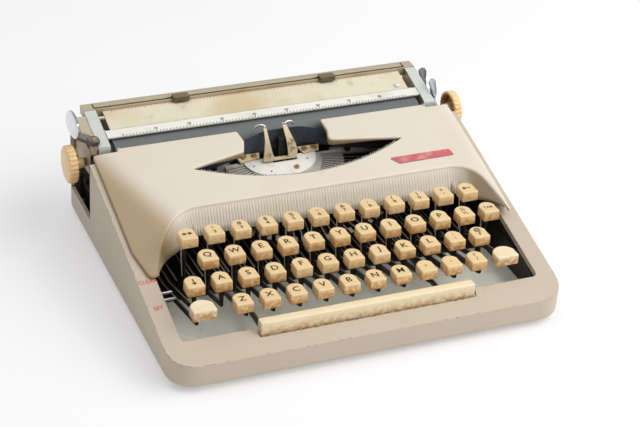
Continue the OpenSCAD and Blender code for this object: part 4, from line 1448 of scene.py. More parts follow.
@dataclass
class Keyboard:
    """Keys on their levers, in the bodies that the CAD gives them."""

    pitch: float = 19.05
    row_y: tuple[float, ...] = (90.0, 70.9, 52.3, 33.6)
    row_top: tuple[float, ...] = (64.6, 58.2, 51.5, 44.7)
    row_mid: tuple[float, ...] = (0.0, -11.0, -7.9, 0.4)
    lever_step: tuple[float, ...] = (-2.4, 0.0, 0.0, 2.4)
    depth: float = 14.0
    height: float = 8.0
    back_r: float = 7.2
    dish: float = 0.7
    kink_y: float = 101.0
    tip_z: float = 31.0
    pale: str = "fghj"
    lever_t: float = 1.2
    lever_h: float = 4.4
    single_h: float = 5.2
    paired_h: float = 3.6
    word_h: float = 2.7
    arrow_h: float = 6.4
    pair_y: Plan = (2.6, -2.2)
    shift_w: float = 16.6
    shift_x: Plan = (-113.0, 108.0)
    shift_lever_x: Plan = (-117.5, 115.5)

    def key(self, row: int, i: int, *signs: str, step: Optional[float] = None) -> Key:
        """Key number i of a row, counted from the left.

        Args:
            row: Row, counted from the back.
            i: Place in the row.
            *signs: What is printed on it.
            step: Sidestep of its lever, where it isn't the row's own.

        Returns:
            The key.
        """
        x = self.row_mid[row] + (i - 4.5) * self.pitch
        side = self.lever_step[row] if step is None else step
        return Key(x, self.row_y[row], self.row_top[row], x + side, signs)

    def layout(self) -> dict[str, list[Key]]:
        """Keys of each CAD body.

        Returns:
            Keys under the name of their body.
        """
        numbers = [('"', "2"), ("#", "3"), ("$", "4"), ("%", "5"), ("_", "6"), ("&", "7"), ("'", "8"),
                   ("(", "9"), (")", "0"), ("*", "-")]
        keys = {
            "margin_release_key": [self.key(0, -1, "<>")],
            "number_row_keys": [self.key(0, i, *pair) for i, pair in enumerate(numbers)],
            "backspace_key": [self.key(0, 10, "<")],
            "fraction_key": [self.key(1, 10, "¼", "½")],
            "tab_key": [self.key(1, 11, "TAB", step=-2.4)],
            "shift_lock_key": [self.key(2, -1, "v")],
            "home_row_sign_keys": [self.key(2, 9, ":", ";"), self.key(2, 10, "@", "¢")],
            "bottom_row_sign_keys": [self.key(3, 7, ","), self.key(3, 8, "."), self.key(3, 9, "?", "/")],
        }
        for row, letters in ((1, "QWERTYUIOP"), (2, "ASDFGHJKL"), (3, "ZXCVBNM")):
            for i, letter in enumerate(letters):
                keys["key_" + letter.lower()] = [self.key(row, i, letter)]
        y, top = self.row_y[3], self.row_top[3]
        keys["shift_keys"] = [
            Key(x, y, top, lever_x, (), self.shift_w) for x, lever_x in zip(self.shift_x, self.shift_lever_x)
        ]
        return keys

    def build(self) -> None:
        """Builds the tops and levers of every body."""
        for body, keys in self.layout().items():
            tops, levers = Sketch(), Sketch()
            wear_and_shade = 0.6 if body[-1] in self.pale or keys[0].y == self.row_y[0] else 1.0
            for key in keys:
                self._top(tops, key, wear_and_shade)
                self._lever(levers, key.lever_x, key.y, key.top - self.height + 0.5)
            if body == "shift_keys":
                self._bail(levers, [key.lever_x for key in keys])
            plastic = PALE_PLASTIC if body == "shift_keys" else KEY_PLASTIC
            seat(tops.object(body + "_tops", [plastic, LEGEND_INK], sharp=42.0), body, Slot.KEYS, body)
            seat(levers.object(body + "_levers", [LEVER_STEEL, WHITE_NICKEL]), body, Slot.STEEL)

    def _outline(self, width: float, inset: float) -> list[Plan]:
        """D-shaped outline of a keytop round its middle.

        Args:
            width: Width of the keytop.
            inset: Distance from its sides.

        Returns:
            Points of the outline.
        """
        h, d = width / 2, self.depth / 2
        r = self.back_r * width / 13.0
        side = d - r + math.sqrt(r * r - h * h)
        a0 = math.atan2(side - (d - r), h)
        f, g = 1 - inset / h, 1 - inset / d
        corners = [(-h, -d, 0.8), (h, -d, 0.8)]
        for k in range(13):
            a = a0 + (math.pi - 2 * a0) * k / 12
            corners.append((r * math.cos(a), d - r + r * math.sin(a), 0.0))
        return [(x * f, y * g) for x, y in even_steps(fillet(corners, steps=5), 2.0, closed=True)]

    def _dish(self, key: Key, y: float) -> float:
        """Height of the dished top at distance y from the front."""
        v = (y - key.y) / 9.0
        return key.top - 0.06 - self.dish * (1.0 - v * v)

    def _top(self, sketch: Sketch, key: Key, wear_and_shade: float) -> None:
        """Moulded keytop with crisp edges, a dished top and its signs.

        Args:
            sketch: Mesh that it goes into.
            key: The key.
            wear_and_shade: How far its front is browned.
        """
        base = key.top - self.height
        rings = []
        for inset, z in ((0.5, 0.0), (0.12, 0.15), (0.0, 0.5), (0.0, 2.5), (0.06, 4.5), (0.16, 6.2)):
            rings.append([(key.x + x, key.y + y, base + z) for x, y in self._outline(key.width, inset)])
        for inset, below in ((0.2, 0.55), (0.36, 0.22), (0.6, 0.06), (0.95, 0.0)):
            plan = self._outline(key.width, inset)
            rings.append([(key.x + x, key.y + y, self._dish(key, key.y + y) - below) for x, y in plan])
        for share in (0.6, 0.3, 0.06):
            rings.append(
                [
                    (key.x + x * share, key.y + y * share, self._dish(key, key.y + y * share))
                    for x, y in self._outline(key.width, 0.95)
                ]
            )
        start = sketch.loft(rings)
        # Browner down the sides than on the top, more towards the front and the bottom.
        for i in range(start, len(sketch.points)):
            x, y, z = sketch.points[i]
            high = (z - base) / self.height
            front = smooth_step(4.5, 6.4, key.y - y)
            low = 1.0 - smooth_step(0.1, 0.9, high)
            side = 1.0 - smooth_step(0.75, 0.92, high)
            sketch.wear_and_shade_share[i] = wear_and_shade * min(1.0, side * (0.3 + 0.25 * front + 0.6 * low))
        alone = len(key.signs) == 1
        height = self.single_h if alone else self.paired_h
        for k, sign in enumerate(key.signs):
            y = key.y if alone else key.y + self.pair_y[k]
            size = self.word_h if sign == "TAB" else (self.arrow_h if sign in ARROWS else height)
            lay_sign(sketch, sign, (key.x, y), size, 0.0, lambda a, b: self._dish(key, b) + 0.05, slot=1)

    def _lever(self, sketch: Sketch, x: float, y: float, seat_z: float) -> None:
        """Stamped lever: low under the type basket, rising to a forked stem under the keytop.

        Args:
            sketch: Mesh that it goes into.
            x: Place across.
            y: Distance of its key from the front.
            seat_z: Height of the keytop's seat.
        """
        t, h = self.lever_t / 2, self.lever_h / 2
        tip = y - 4.0
        kink, high = (self.kink_y, lever_z(self.kink_y)), self.tip_z + (2.4 if y < 40.0 else 0.0)
        arm = [
            (SHAFT_Y, SHAFT_Z - h), (kink[0] - 1.0, kink[1] - h), (tip + 3.0, high - h - 0.6),
            (tip, high - h + 0.8), (tip - 0.6, high + h), (kink[0], kink[1] + h), (SHAFT_Y, SHAFT_Z + h),
        ]
        sketch.prism(arm, x - t, x + t, "x")
        stem = [(tip - 0.4, high), (tip + 4.0, high), (y + 4.2, seat_z), (y - 4.8, seat_z)]
        sketch.prism(stem, x - t, x + t, "x")
        # Painted highlight: a pale nickel strip along the back edge of the stem, where light catches it.
        if y > 60.0:
            highlight_strip = [(tip + 2.8, high), (tip + 4.1, high), (y + 4.3, seat_z - 0.1), (y + 3.0, seat_z - 0.1)]
            sketch.prism(highlight_strip, x - t - 0.25, x + t + 0.05, "x", 1)
        sketch.turned([(-t, 2.3), (-t, 4.2), (t, 4.2), (t, 2.3)], (x, SHAFT_Y, SHAFT_Z), "x", 20)

    def _bail(self, sketch: Sketch, ends: Sequence[float]) -> None:
        """Rod that joins the two shift levers.

        Args:
            sketch: Mesh that it goes into.
            ends: Places of the two levers.
        """
        y, z = SHAFT_Y - 14.0, SHAFT_Z + 13.0
        sketch.turned([(ends[0], 1.5), (ends[1], 1.5)], (0.0, y, z), "x", 16)
        for x in ends:
            sketch.box((x - 0.6, y - 3, lever_z(y)), (x + 0.6, y + 3, z + 1))


@dataclass
class SpaceBar:
    """Space bar on two brackets and two arms that widen to flats at the front."""

    half: float = 78.0
    y0: float = 15.3
    depth: float = 7.5
    low: float = 22.0
    top: float = 34.0
    arm_y: float = 25.5
    arm_xs: Plan = (-71.8, 61.5)
    wide_y: float = 92.0
    arm_h: float = 4.4
    flat_half: float = 1.8

    def build(self) -> None:
        """Builds the moulded bar and its steel frame."""
        bar = Sketch()
        y1 = self.y0 + self.depth
        section = fillet(
            [
                (self.y0, self.low, 0.5),
                (y1, self.low, 0.5),
                (y1 - 0.1, self.top, 0.9),
                (self.y0 + 0.4, self.top, 0.8),
            ],
            steps=5,
        )
        mid = (self.y0 + self.depth / 2, (self.low + self.top) / 2)
        rings = []
        ends = [(0.0, 0.92), (0.12, 0.965), (0.4, 0.99), (0.9, 1.0)]
        places = [(-self.half + d, f) for d, f in ends]
        places += [(-self.half + 0.9 + (2 * self.half - 1.8) * k / 30, 1.0) for k in range(1, 30)]
        places += [(self.half - d, f) for d, f in reversed(ends)]
        for x, f in places:
            rings.append([(x, mid[0] + (y - mid[0]) * f, mid[1] + (z - mid[1]) * f) for y, z in section])
        start = bar.loft(rings)
        for i in range(start, len(bar.points)):
            x, y, z = bar.points[i]
            low = 1.0 - smooth_step(0.3, 1.0, (z - self.low) / (self.top - self.low))
            bar.wear_and_shade_share[i] = min(1.0, 1.1 * low) * (0.4 + 0.6 * smooth_step(0.0, 4.0, y1 - y - 2.0))
        moulding = bar.object("space_bar_moulding", [PALE_PLASTIC], sharp=40.0)
        seat(moulding, "space_bar", Slot.KEYS, "space_bar")
        self._frame(y1)

    def _frame(self, y1: float) -> None:
        """Steel brackets and arms that carry the bar.

        Args:
            y1: Distance of the bar's back from the front.
        """
        frame = Sketch()
        z, wide_z = lever_z(self.arm_y), lever_z(self.wide_y)
        h = self.arm_h / 2
        for x in self.arm_xs:
            bracket = [
                (self.y0 + 2, self.low + 2), (y1 - 1, self.low + 2), (self.arm_y + 3, z + h),
                (self.arm_y + 1, z - 1.5), (self.y0 + 4, self.low - 1),
            ]
            frame.prism(bracket, x - 3, x + 3, "x")
            arm = [(SHAFT_Y, SHAFT_Z - h), (self.arm_y, z - h), (self.arm_y, z + h), (SHAFT_Y, SHAFT_Z + h)]
            frame.prism(arm, x - 0.6, x + 0.6, "x")
            flat = [
                (self.arm_y, z - 0.6), (self.wide_y, wide_z - 0.6),
                (self.wide_y, wide_z + 0.6), (self.arm_y, z + 0.6),
            ]
            frame.prism(flat, x - self.flat_half, x + self.flat_half, "x")
            frame.turned([(-0.6, 2.3), (-0.6, 4.2), (0.6, 4.2), (0.6, 2.3)], (x, SHAFT_Y, SHAFT_Z), "x", 20)
        seat(frame.object("space_bar_frame", [LEVER_STEEL]), "space_bar", Slot.STEEL)


@dataclass
class PlatenKnobs:
    """Two ribbed knobs on the platen's shaft."""

    radius: float = 13.85
    width: float = 7.4
    outer_x: float = 155.9
    axis_y: float = PLATEN_Y
    axis_z: float = PLATEN_Z
    ribs: int = 24
    rib_depth: float = 1.1
    shaft_r: float = 3.06
    collar_x: float = 141.2

    def build(self) -> None:
        """Builds both knobs as one piece of the platen's body."""
        knobs = Sketch()
        for side in (-1.0, 1.0):
            self._knob(knobs, side)
        pair = knobs.object("platen_knob_pair", [KNOB_PLASTIC, BRASS], sharp=40.0)
        seat(pair, "platen_roller", Slot.KEYS, "platen_knobs")

    def _knob(self, sketch: Sketch, side: float) -> None:
        """One knob: domed face, ribbed rim and a hollow back with a hub.

        Args:
            sketch: Mesh that it goes into.
            side: Minus one for the left knob, one for the right.
        """
        w, r = self.width, self.radius
        profile = [
            (0.0, 0.6, 0.0), (0.12, 6.0, 0.0), (0.5, r - 2.6, 0.0), (0.9, r - 1.2, 0.3), (1.6, r - 0.15, 1.0),
            (w - 0.8, r, 1.0), (w - 0.2, r - 0.5, 1.0), (w, r - 1.3, 0.4), (w - 0.1, r - 2.4, 0.0),
            (2.4, r - 2.9, 0.0), (2.2, 5.4, 0.0), (w - 0.6, 5.0, 0.0), (w, 4.6, 0.0), (w, 3.1, 0.0),
        ]
        n = self.ribs * 8
        rings = []
        for depth, radius, ribbed in profile:
            ring = []
            for k in range(n):
                a = math.tau * k / n
                dip = 0.5 - 0.5 * math.tanh(2.2 * math.cos(a * self.ribs) + 1.2)
                rr = radius - self.rib_depth * ribbed * dip
                y, z = self.axis_y + rr * math.cos(a), self.axis_z + rr * math.sin(a)
                ring.append((side * (self.outer_x - depth), y, z))
            rings.append(ring)
        start = sketch.loft(rings)
        for i in range(start, len(sketch.points)):
            x, y, z = sketch.points[i]
            reach = math.hypot(y - self.axis_y, z - self.axis_z)
            depth = self.outer_x - abs(x)
            sketch.wear_and_shade_share[i] = 0.85 if depth > 2.0 and reach < r - 1.6 else 0.2 * (depth > 1.0)
        centre = (0.0, self.axis_y, self.axis_z)
        ends = [(self.outer_x - 3.0, 4.6), (self.outer_x - w - 1.0, 4.6), (self.outer_x - w - 5.0, 3.9)]
        ends += [(self.outer_x - w - 6.2, 3.8), (self.outer_x - w - 6.2, self.shaft_r)]
        sketch.turned([(side * x, radius) for x, radius in ends], centre, "x", 32)
        collar = [(self.outer_x - w - 6.3, self.shaft_r), (self.outer_x - w - 6.3, 3.5)]
        collar += [(self.collar_x, 3.4), (self.collar_x, self.shaft_r)]
        sketch.turned([(side * x, radius) for x, radius in collar], centre, "x", 32, 1)


@dataclass
class InkRibbon:
    """Cloth ribbon from spool to spool past the type guide."""

    width: float = 12.6
    spool_x: float = 113.5
    ease: float = 7.0
    turns: int = 6
    turn_pitch: float = 0.5
    path: tuple[Point, ...] = (
        (-127.5, 160.0, 40.3), (-121.4, 186.2, 40.4), (-43.0, 187.6, 53.1), (-10.0, 195.3, 59.6),
        (18.0, 195.3, 59.6), (51.0, 187.6, 53.1), (121.6, 186.2, 40.4), (125.9, 160.0, 40.3),
    )

    def build(self) -> None:
        """Hangs the ribbon along its path with softened bends."""
        line = self._rounded()
        sketch = Sketch()
        rows = 6
        rings = []
        for i, p in enumerate(line):
            ring = []
            for k in range(rows + 1):
                t = k / rows
                bow = 0.25 * math.sin(math.pi * t) * math.sin(i * 0.35)
                ring.append((p[0], p[1] + 0.1 + bow * 0.4, p[2] + self.width * t))
            rings.append(ring)
        sketch.loft(rings, closed=False, caps=False)
        ribbon = sketch.object("ink_ribbon_cloth", [RIBBON_CLOTH], sharp=80.0)
        seat(ribbon, "base", Slot.RIBBON, "ink_ribbon")
        for side, first in (("left", self.path[0]), ("right", self.path[-1])):
            self._pack(side, first)

    def _pack(self, side: str, first: Point) -> None:
        """Ribbon wound on a spool, with the edges of its turns standing a little apart.

        Args:
            side: Which spool, left or right.
            first: Where the free ribbon leaves it.
        """
        pack = Sketch()
        centre_x = math.copysign(self.spool_x, first[0])
        radius = abs(first[0] - centre_x) - 0.2
        low, high = first[2] - 0.2, first[2] + self.width + 0.2
        pitch = self.turn_pitch
        inside = radius - pitch * self.turns
        profile = [(low, inside)]
        for k in range(self.turns):
            profile += [(low, inside + pitch * (k + 1)), (low + 0.12, inside + pitch * (k + 1.5))]
        for k in reversed(range(self.turns)):
            profile += [(high - 0.12, inside + pitch * (k + 1.5)), (high, inside + pitch * (k + 1))]
        profile.append((high, inside))
        pack.turned(profile, (centre_x, first[1], 0.0), "z", 64)
        piece = pack.object(f"ribbon_pack_{side}", [RIBBON_CLOTH], sharp=50.0)
        seat(piece, f"{side}_spool", Slot.RIBBON)

    def _rounded(self) -> list[Point]:
        """The path with its corners eased.

        Returns:
            Points of the path.
        """
        out: list[Point] = []
        path = [Vector(p) for p in self.path]
        for i, p in enumerate(path):
            if i in (0, len(path) - 1):
                out.append(tuple(p))
                continue
            a = p + (path[i - 1] - p).normalized() * min(self.ease, (path[i - 1] - p).length / 2)
            b = p + (path[i + 1] - p).normalized() * min(self.ease, (path[i + 1] - p).length / 2)
            for k in range(9):
                t = k / 8
                out.append(tuple(a * (1 - t) ** 2 + p * 2 * t * (1 - t) + b * t * t))
        fine: list[Point] = []
        for a, b in zip(out, out[1:]):
            n = max(1, math.ceil(math.dist(a, b) / 4.0))
            fine.extend(tuple(Vector(a).lerp(Vector(b), k / n)) for k in range(n))
        fine.append(out[-1])
        return fine


@dataclass
class TypeWorks:
    """Dress of the type basket: the bright half plate, two screwed brackets and the vibrator's arms."""

    centre: Point = (4.0, 190.0, 50.0)
    tilt: float = 14.2
    plate_x: float = -3.0
    plate_half: float = 28.5
    plate_depth: float = 21.0
    plate_rear: float = 0.6
    plate_z: Plan = (1.05, 1.9)
    notch: Plan = (9.6, -5.0)
    bracket_t: float = 1.4
    bracket_y: float = 6.2
    foot_z: float = 52.2
    arm_lean: tuple[Plan, ...] = (
        (184.4, 52.2), (184.9, 58.0), (186.2, 63.5), (187.4, 67.5),
        (190.4, 71.5), (193.6, 75.0), (195.4, 76.6),
    )
    left_arm: tuple[Plan, ...] = (
        (-13.4, -3.9), (-12.8, -6.2), (-12.2, -7.4), (-11.6, -8.2),
        (-11.1, -8.5), (-10.9, -8.6), (-10.8, -8.8),
    )
    right_arm: tuple[Plan, ...] = (
        (6.4, 13.0), (6.0, 13.4), (5.4, 12.0), (4.9, 10.2), (4.5, 8.6), (4.2, 7.4), (4.2, 6.8),
    )
    hook: tuple[Point, ...] = (
        (0.0, 194.6, 76.2), (2.0, 195.2, 77.4), (4.6, 195.5, 77.5), (6.6, 195.6, 76.4), (7.8, 195.6, 74.6),
    )
    hook_r: float = 0.95

    def _lay(self, x: float, y: float, z: float) -> Point:
        """Point of the basket's tilted frame."""
        c, s = math.cos(math.radians(self.tilt)), math.sin(math.radians(self.tilt))
        return self.centre[0] + x, self.centre[1] + y * c - z * s, self.centre[2] + y * s + z * c

    def _sheet(self, sketch: Sketch, outline: Sequence[Plan], low: float, high: float, slot: int) -> None:
        """Flat sheet in the basket's frame, with its upper edge broken.

        Args:
            sketch: Mesh that it goes into.
            outline: Corners of the sheet.
            low: Height of its underside.
            high: Height of its top.
            slot: Index of the faces' finish.
        """
        mid = (sum(x for x, _ in outline) / len(outline), sum(y for _, y in outline) / len(outline))
        rings = []
        for z, f in ((low, 1.0), (high - 0.2, 1.0), (high, 0.985)):
            scaled = [(mid[0] + (x - mid[0]) * f, mid[1] + (y - mid[1]) * f) for x, y in outline]
            rings.append([self._lay(x, y, z) for x, y in scaled])
        sketch.loft(rings, slot=slot)

    def build(self) -> None:
        """Builds the plate and brackets on the basket, and the vibrator."""
        dress = Sketch()
        low, high = self.plate_z
        half, depth, m = self.plate_half, self.plate_depth, self.plate_x
        notch_x, notch_y = self.notch
        rear = self.plate_rear
        turns = [math.pi * (1 + k / 32) for k in range(33)]
        plate = [(m + half * math.cos(a), rear + depth * math.sin(a)) for a in turns]
        plate += [(notch_x, rear), (notch_x, notch_y), (-notch_x, notch_y), (-notch_x, rear)]
        self._sheet(dress, plate, low, high, 0)
        back = self.bracket_y
        brackets = (
            ([(-34.0, -1.6), (-18.5, 0.6), (-17.0, back), (-36.0, back)], ((-30.3, 3.0), (-22.3, 3.2))),
            ([(15.6, -1.2), (28.5, 0.6), (30.4, back), (13.0, back)], ((17.6, 3.0), (25.2, 3.2))),
        )
        up = Vector(self._lay(0.0, 0.0, 1.0)) - Vector(self.centre)
        for outline, screws in brackets:
            self._sheet(dress, outline, high, high + self.bracket_t, 1)
            for x, y in screws:
                dress.screw(self._lay(x, y, high + self.bracket_t), 2.2, up, 2)
        dress.screw(self._lay(6.0, -13.0, high), 2.0, up, 2)
        for x, y in ((-25.0, -6.0), (17.0, -6.0), (-14.0, -13.5)):
            dress.screw(self._lay(x, y, high), 0.7, up, 3)
        pieces = [WHITE_NICKEL, VIBRATOR_SHEET, BRASS, DARK_CASTING]
        seat(dress.object("segment_dress", pieces, sharp=40.0), "type_basket", Slot.STEEL)
        self._vibrator()

    def _vibrator(self) -> None:
        """Bracket on the column and two arms that lean back and hook over the ribbon."""
        sketch = Sketch()
        sketch.box((-3.6, 187.25, 44.2), (11.6, 188.45, self.foot_z - 0.3), 1)
        for x in (-3.6, 10.3):
            sketch.box((x, 188.45, 44.2), (x + 1.3, 193.3, self.foot_z - 0.3), 1)
        sketch.screw((4.0, 187.25, 48.4), 1.9, Vector((0.0, -1.0, 0.0)), 3)
        sketch.box((-13.4, 184.4, self.foot_z), (13.0, 187.7, self.foot_z + 1.2))
        for widths in (self.left_arm, self.right_arm):
            rings = []
            for (y, z), (x0, x1) in zip(self.arm_lean, widths):
                rings.append([(x0, y, z), (x1, y, z), (x1, y + 1.1, z - 0.1), (x0, y + 1.1, z - 0.1)])
            sketch.loft(rings)
        for x, side in ((-9.8, -1.0), (5.5, 1.0)):
            sketch.tube([(x + side * a, y, z) for a, y, z in self.hook], self.hook_r, 12, 2)
        finishes = [VIBRATOR_SHEET, DARK_CASTING, BRIGHT_STEEL, BRASS]
        arms = sketch.object("vibrator_arms", finishes, 0.25, 40.0)
        seat(arms, "vibrator", Slot.VIBRATOR, "ribbon_vibrator")


@dataclass(frozen=True)
class ReleaseTab:
    """A release lever at the carriage's right end: its node, body, finish, pin, tip and the tab's outline."""

    node: str
    body: str
    finish: Finish
    pivot: Plan
    tip: Plan
    outline: tuple[Plan, ...]

    def place(self, u: float, s: float, n: float) -> Point:
        """Point of the leaning tab.

        Args:
            u: Place across the tab.
            s: Place along it.
            n: Distance in front of it.

        Returns:
            The point.
        """
        along = Vector((15.0, 11.0)).normalized()
        y = self.tip[0] - 11.0 + along.x * s - along.y * n
        return u, y, self.tip[1] - 10.0 + along.y * s + along.x * n


RELEASE_TABS = (
    ReleaseTab(
        "paper_release_lever", "paper_release", BLUE_STEEL, (PLATEN_Y + 17.0, PLATEN_Z + 8.0),
        (PLATEN_Y + 25.0, rim_z(PLATEN_Y) + 9.0),
        (
            (1.0, 1.0), (3.2, 1.4), (3.6, 5.5), (5.2, 8.5), (6.4, 12.0),
            (6.4, 15.0), (3.4, 15.9), (0.2, 14.2), (0.0, 8.0),
        ),
    ),
    ReleaseTab(
        "carriage_release_lever", "carriage_release", PALE_STEEL, (PLATEN_Y - 6.0, PLATEN_Z + 6.0),
        (PLATEN_Y + 5.0, rim_z(PLATEN_Y) + 8.0),
        (
            (0.2, 1.2), (1.6, 1.4), (3.4, 4.7), (4.8, 10.0), (5.8, 14.8),
            (5.2, 17.2), (2.4, 17.0), (0.0, 15.0), (0.0, 6.0),
        ),
    ),
)


@dataclass
class CarriageEnds:
    """Folded arms at both ends of the carriage, the return lever and the printed scales."""

    inner_x: float = 123.8
    outer_x: float = 132.4
    front_y: float = 202.85
    back_y: float = 241.6
    bend: float = 3.0
    sheet: float = 0.45
    pivot: Plan = (-136.0, 206.0)
    hub: Plan = (75.75, 80.0)
    blade: Point = (-146.0, 223.5, 83.6)
    blade_long: float = 16.5
    blade_high: float = 10.0
    blade_turn: float = -14.0
    scale_pitch: float = 2.54
    scale_half: int = 44
    lid_y: Plan = (246.0, 251.4)
    lid_z: float = 82.8
    lid_half: float = 123.5
    pearl: Plan = (111.0, 226.2)
    release_x: float = 133.2
    release_t: float = 2.5
    arm_lift: float = 0.08
    arm_foot_z: float = 61.0
    bail_ticks: Point = (211.85, 212.9, 213.6)
    bail_numbers_y: float = 215.1
    number_h: float = 2.1
    bail_lift: float = 0.58
    table_ticks: Point = (239.6, 240.4, 241.4)
    table_lift: float = -1.45

    def build(self) -> None:
        """Builds the arms, the return lever, the back bar's lid with the table's button, and the release
        levers.
        """
        arms = Sketch()
        outer = [(self.back_y, rim_z(self.back_y) + self.arm_lift + self.sheet)]
        y0 = self.front_y + self.bend
        top = rim_z(y0) + self.arm_lift + self.sheet
        for k in range(9):
            a = math.pi / 2 * k / 8
            z = top - self.bend * (1 - math.cos(a)) - 0.12 * self.bend * math.sin(a)
            outer.append((y0 - self.bend * math.sin(a), z))
        outer.append((self.front_y, self.arm_foot_z))
        inner = [(y, z - self.sheet) for y, z in outer[:2]]
        for y, z in outer[2:]:
            inner.append((max(y + self.sheet * 0.3, self.front_y + 0.12), z - self.sheet * 0.7))
        for side in (-1.0, 1.0):
            low, high = sorted((side * self.inner_x, side * self.outer_x))
            arms.prism(outer + inner[::-1], low, high, "x")
        seat(arms.object("carriage_arms", [ARM_ENAMEL], 0.12, 30.0), "carriage", Slot.CARRIAGE)
        self._lever()
        self._lid()
        for tab in RELEASE_TABS:
            self._tab(tab)

    def _lid(self) -> None:
        """Lid of the back channel, behind the margin stops' slot, and the pearl button on the table."""
        lid = Sketch()
        y0, y1 = self.lid_y
        top = self.lid_z
        corners = [(y0, top - 1.0, 0.0), (y1, top - 1.0, 0.0), (y1, top, 1.6), (y0, top, 0.5)]
        section = fillet(corners, steps=6)
        lid.prism(section, -self.lid_half, self.lid_half, "x")
        seat(lid.object("back_bar_lid", [ZINC_PLATE], sharp=50.0), "carriage", Slot.CARRIAGE)
        pearl = Sketch()
        x, y = self.pearl
        dome = [(-1.0, 2.5), (0.5, 2.6), (1.1, 2.2), (1.5, 1.4), (1.65, 0.3)]
        pearl.turned(dome, (x, y, rim_z(y) - 1.5), "z", 32)
        seat(pearl.object("table_button", [PEARL], sharp=60.0), "carriage", Slot.TABLE)

    def _tab(self, tab: ReleaseTab) -> None:
        """Release lever: a hub on its pin, a stamped stem and a rounded, dished finger tab.

        Args:
            tab: The lever.
        """
        lever = Sketch()
        x0, (hub_y, hub_z) = self.release_x, tab.pivot
        hub = [(0.0, 1.7), (0.0, 4.0), (self.release_t, 4.0), (self.release_t, 1.7), (0.0, 1.7)]
        lever.turned(hub, (x0, hub_y, hub_z), "x", 32)
        head = tab.place(0.0, 9.0, -0.8)
        stem = [
            (hub_y - 2.4, hub_z + 2.6), (hub_y + 2.4, hub_z + 2.6),
            (head[1] + 2.0, head[2]), (head[1] - 2.0, head[2]),
        ]
        lever.prism(stem, x0, x0 + self.release_t - 0.6, "x")
        outline = fillet([(u, s, 1.6) for u, s in tab.outline], steps=5)
        mid = (sum(u for u, _ in outline) / len(outline), sum(s for _, s in outline) / len(outline))
        rings = []
        dish = ((-0.9, 0.9), (-0.5, 1.0), (0.45, 1.0), (0.85, 0.93), (0.75, 0.8), (0.3, 0.5), (0.2, 0.05))
        for n, f in dish:
            ring = []
            for u, s in outline:
                _, y, z = tab.place(0.0, mid[1] + (s - mid[1]) * f, n)
                ring.append((x0 + mid[0] + (u - mid[0]) * f, y, z))
            rings.append(ring)
        lever.loft(rings)
        piece = lever.object(tab.node + "_tab", [tab.finish], sharp=50.0)
        seat(piece, tab.body, Slot.LEVER, tab.node)

    def _lever(self) -> None:
        """Return lever: cast hub, stamped arm and a domed chrome blade."""
        lever = Sketch()
        px, py = self.pivot
        low, high = self.hub
        corner = [
            (-4.4, -2.6), (-2.4, -4.4), (2.6, -4.4), (4.4, -2.4),
            (4.4, 2.4), (2.6, 4.4), (-2.4, 4.4), (-4.4, 2.6),
        ]
        rings = []
        for z, f in ((low, 0.97), (low + 0.4, 1.0), (high - 0.9, 1.0), (high, 0.82)):
            rings.append([(px + x * f, py + y * f, z) for x, y in corner])
        lever.loft(rings, slot=1)
        lever.screw((px, py, high), 2.0, Vector((0.0, 0.0, 1.0)), 2)
        reach = [(2.0, 3.0), (-3.0, -3.0), (-10.4, 7.0), (-10.4, 16.0), (-8.8, 16.0)]
        lever.prism([(px + x, py + y) for x, y in reach], low + 0.8, low + 3.6, slot=1)
        bx, by, bz = self.blade
        c, s = math.cos(math.radians(self.blade_turn)), math.sin(math.radians(self.blade_turn))
        rings = []
        dome = ((1.1, 0.93), (0.5, 1.0), (-0.2, 1.0), (-0.8, 0.93), (-1.15, 0.7), (-1.2, 0.3), (-1.2, 0.03))
        for depth, f in dome:
            ring = []
            for k in range(56):
                a = math.tau * k / 56
                u, v = self.blade_long * f * math.cos(a), self.blade_high * f * math.sin(a)
                ring.append((bx + depth, by + u * c - v * s, bz + u * s + v * c))
            rings.append(ring)
        lever.loft(rings)
        blade = lever.object("return_lever_blade", [CHROME, DARK_CASTING, BRASS], sharp=40.0)
        seat(blade, "return_lever", Slot.CHROME, "return_lever")

    def dress(self) -> None:
        """Prints the black scale on the bail and the red one on the paper table."""
        black, red = Sketch(), Sketch()
        n = self.scale_half
        front, short, long = self.bail_ticks
        table_long, table_short, back = self.table_ticks
        for i in range(-n, n + 1):
            x = i * self.scale_pitch
            whole = (i + n) % 10 == 0
            self._tick(black, x, front, long if whole else short, self.bail_lift)
            if whole and 0 < i + n < 2 * n:
                at = (x, self.bail_numbers_y)
                lay_sign(black, str(i + n), at, self.number_h, 0.0, lambda a, b: rim_z(b) + self.bail_lift)
            self._tick(red, x, table_long if whole else table_short, back, self.table_lift)
        seat(black.object("bail_scale", [LEGEND_INK]), "paper_bail", Slot.SCALE)
        seat(red.object("table_scale", [RED_INK]), "carriage", Slot.TABLE)

    @staticmethod
    def _tick(sketch: Sketch, x: float, y0: float, y1: float, lift: float) -> None:
        """One printed tick, parallel to Y, at a height above the rim's plane."""
        ends = [(x - 0.3, y0), (x + 0.3, y0), (x + 0.3, y1), (x - 0.3, y1)]
        sketch.add([(a, b, rim_z(b) + lift) for a, b in ends], [(0, 1, 2, 3)])


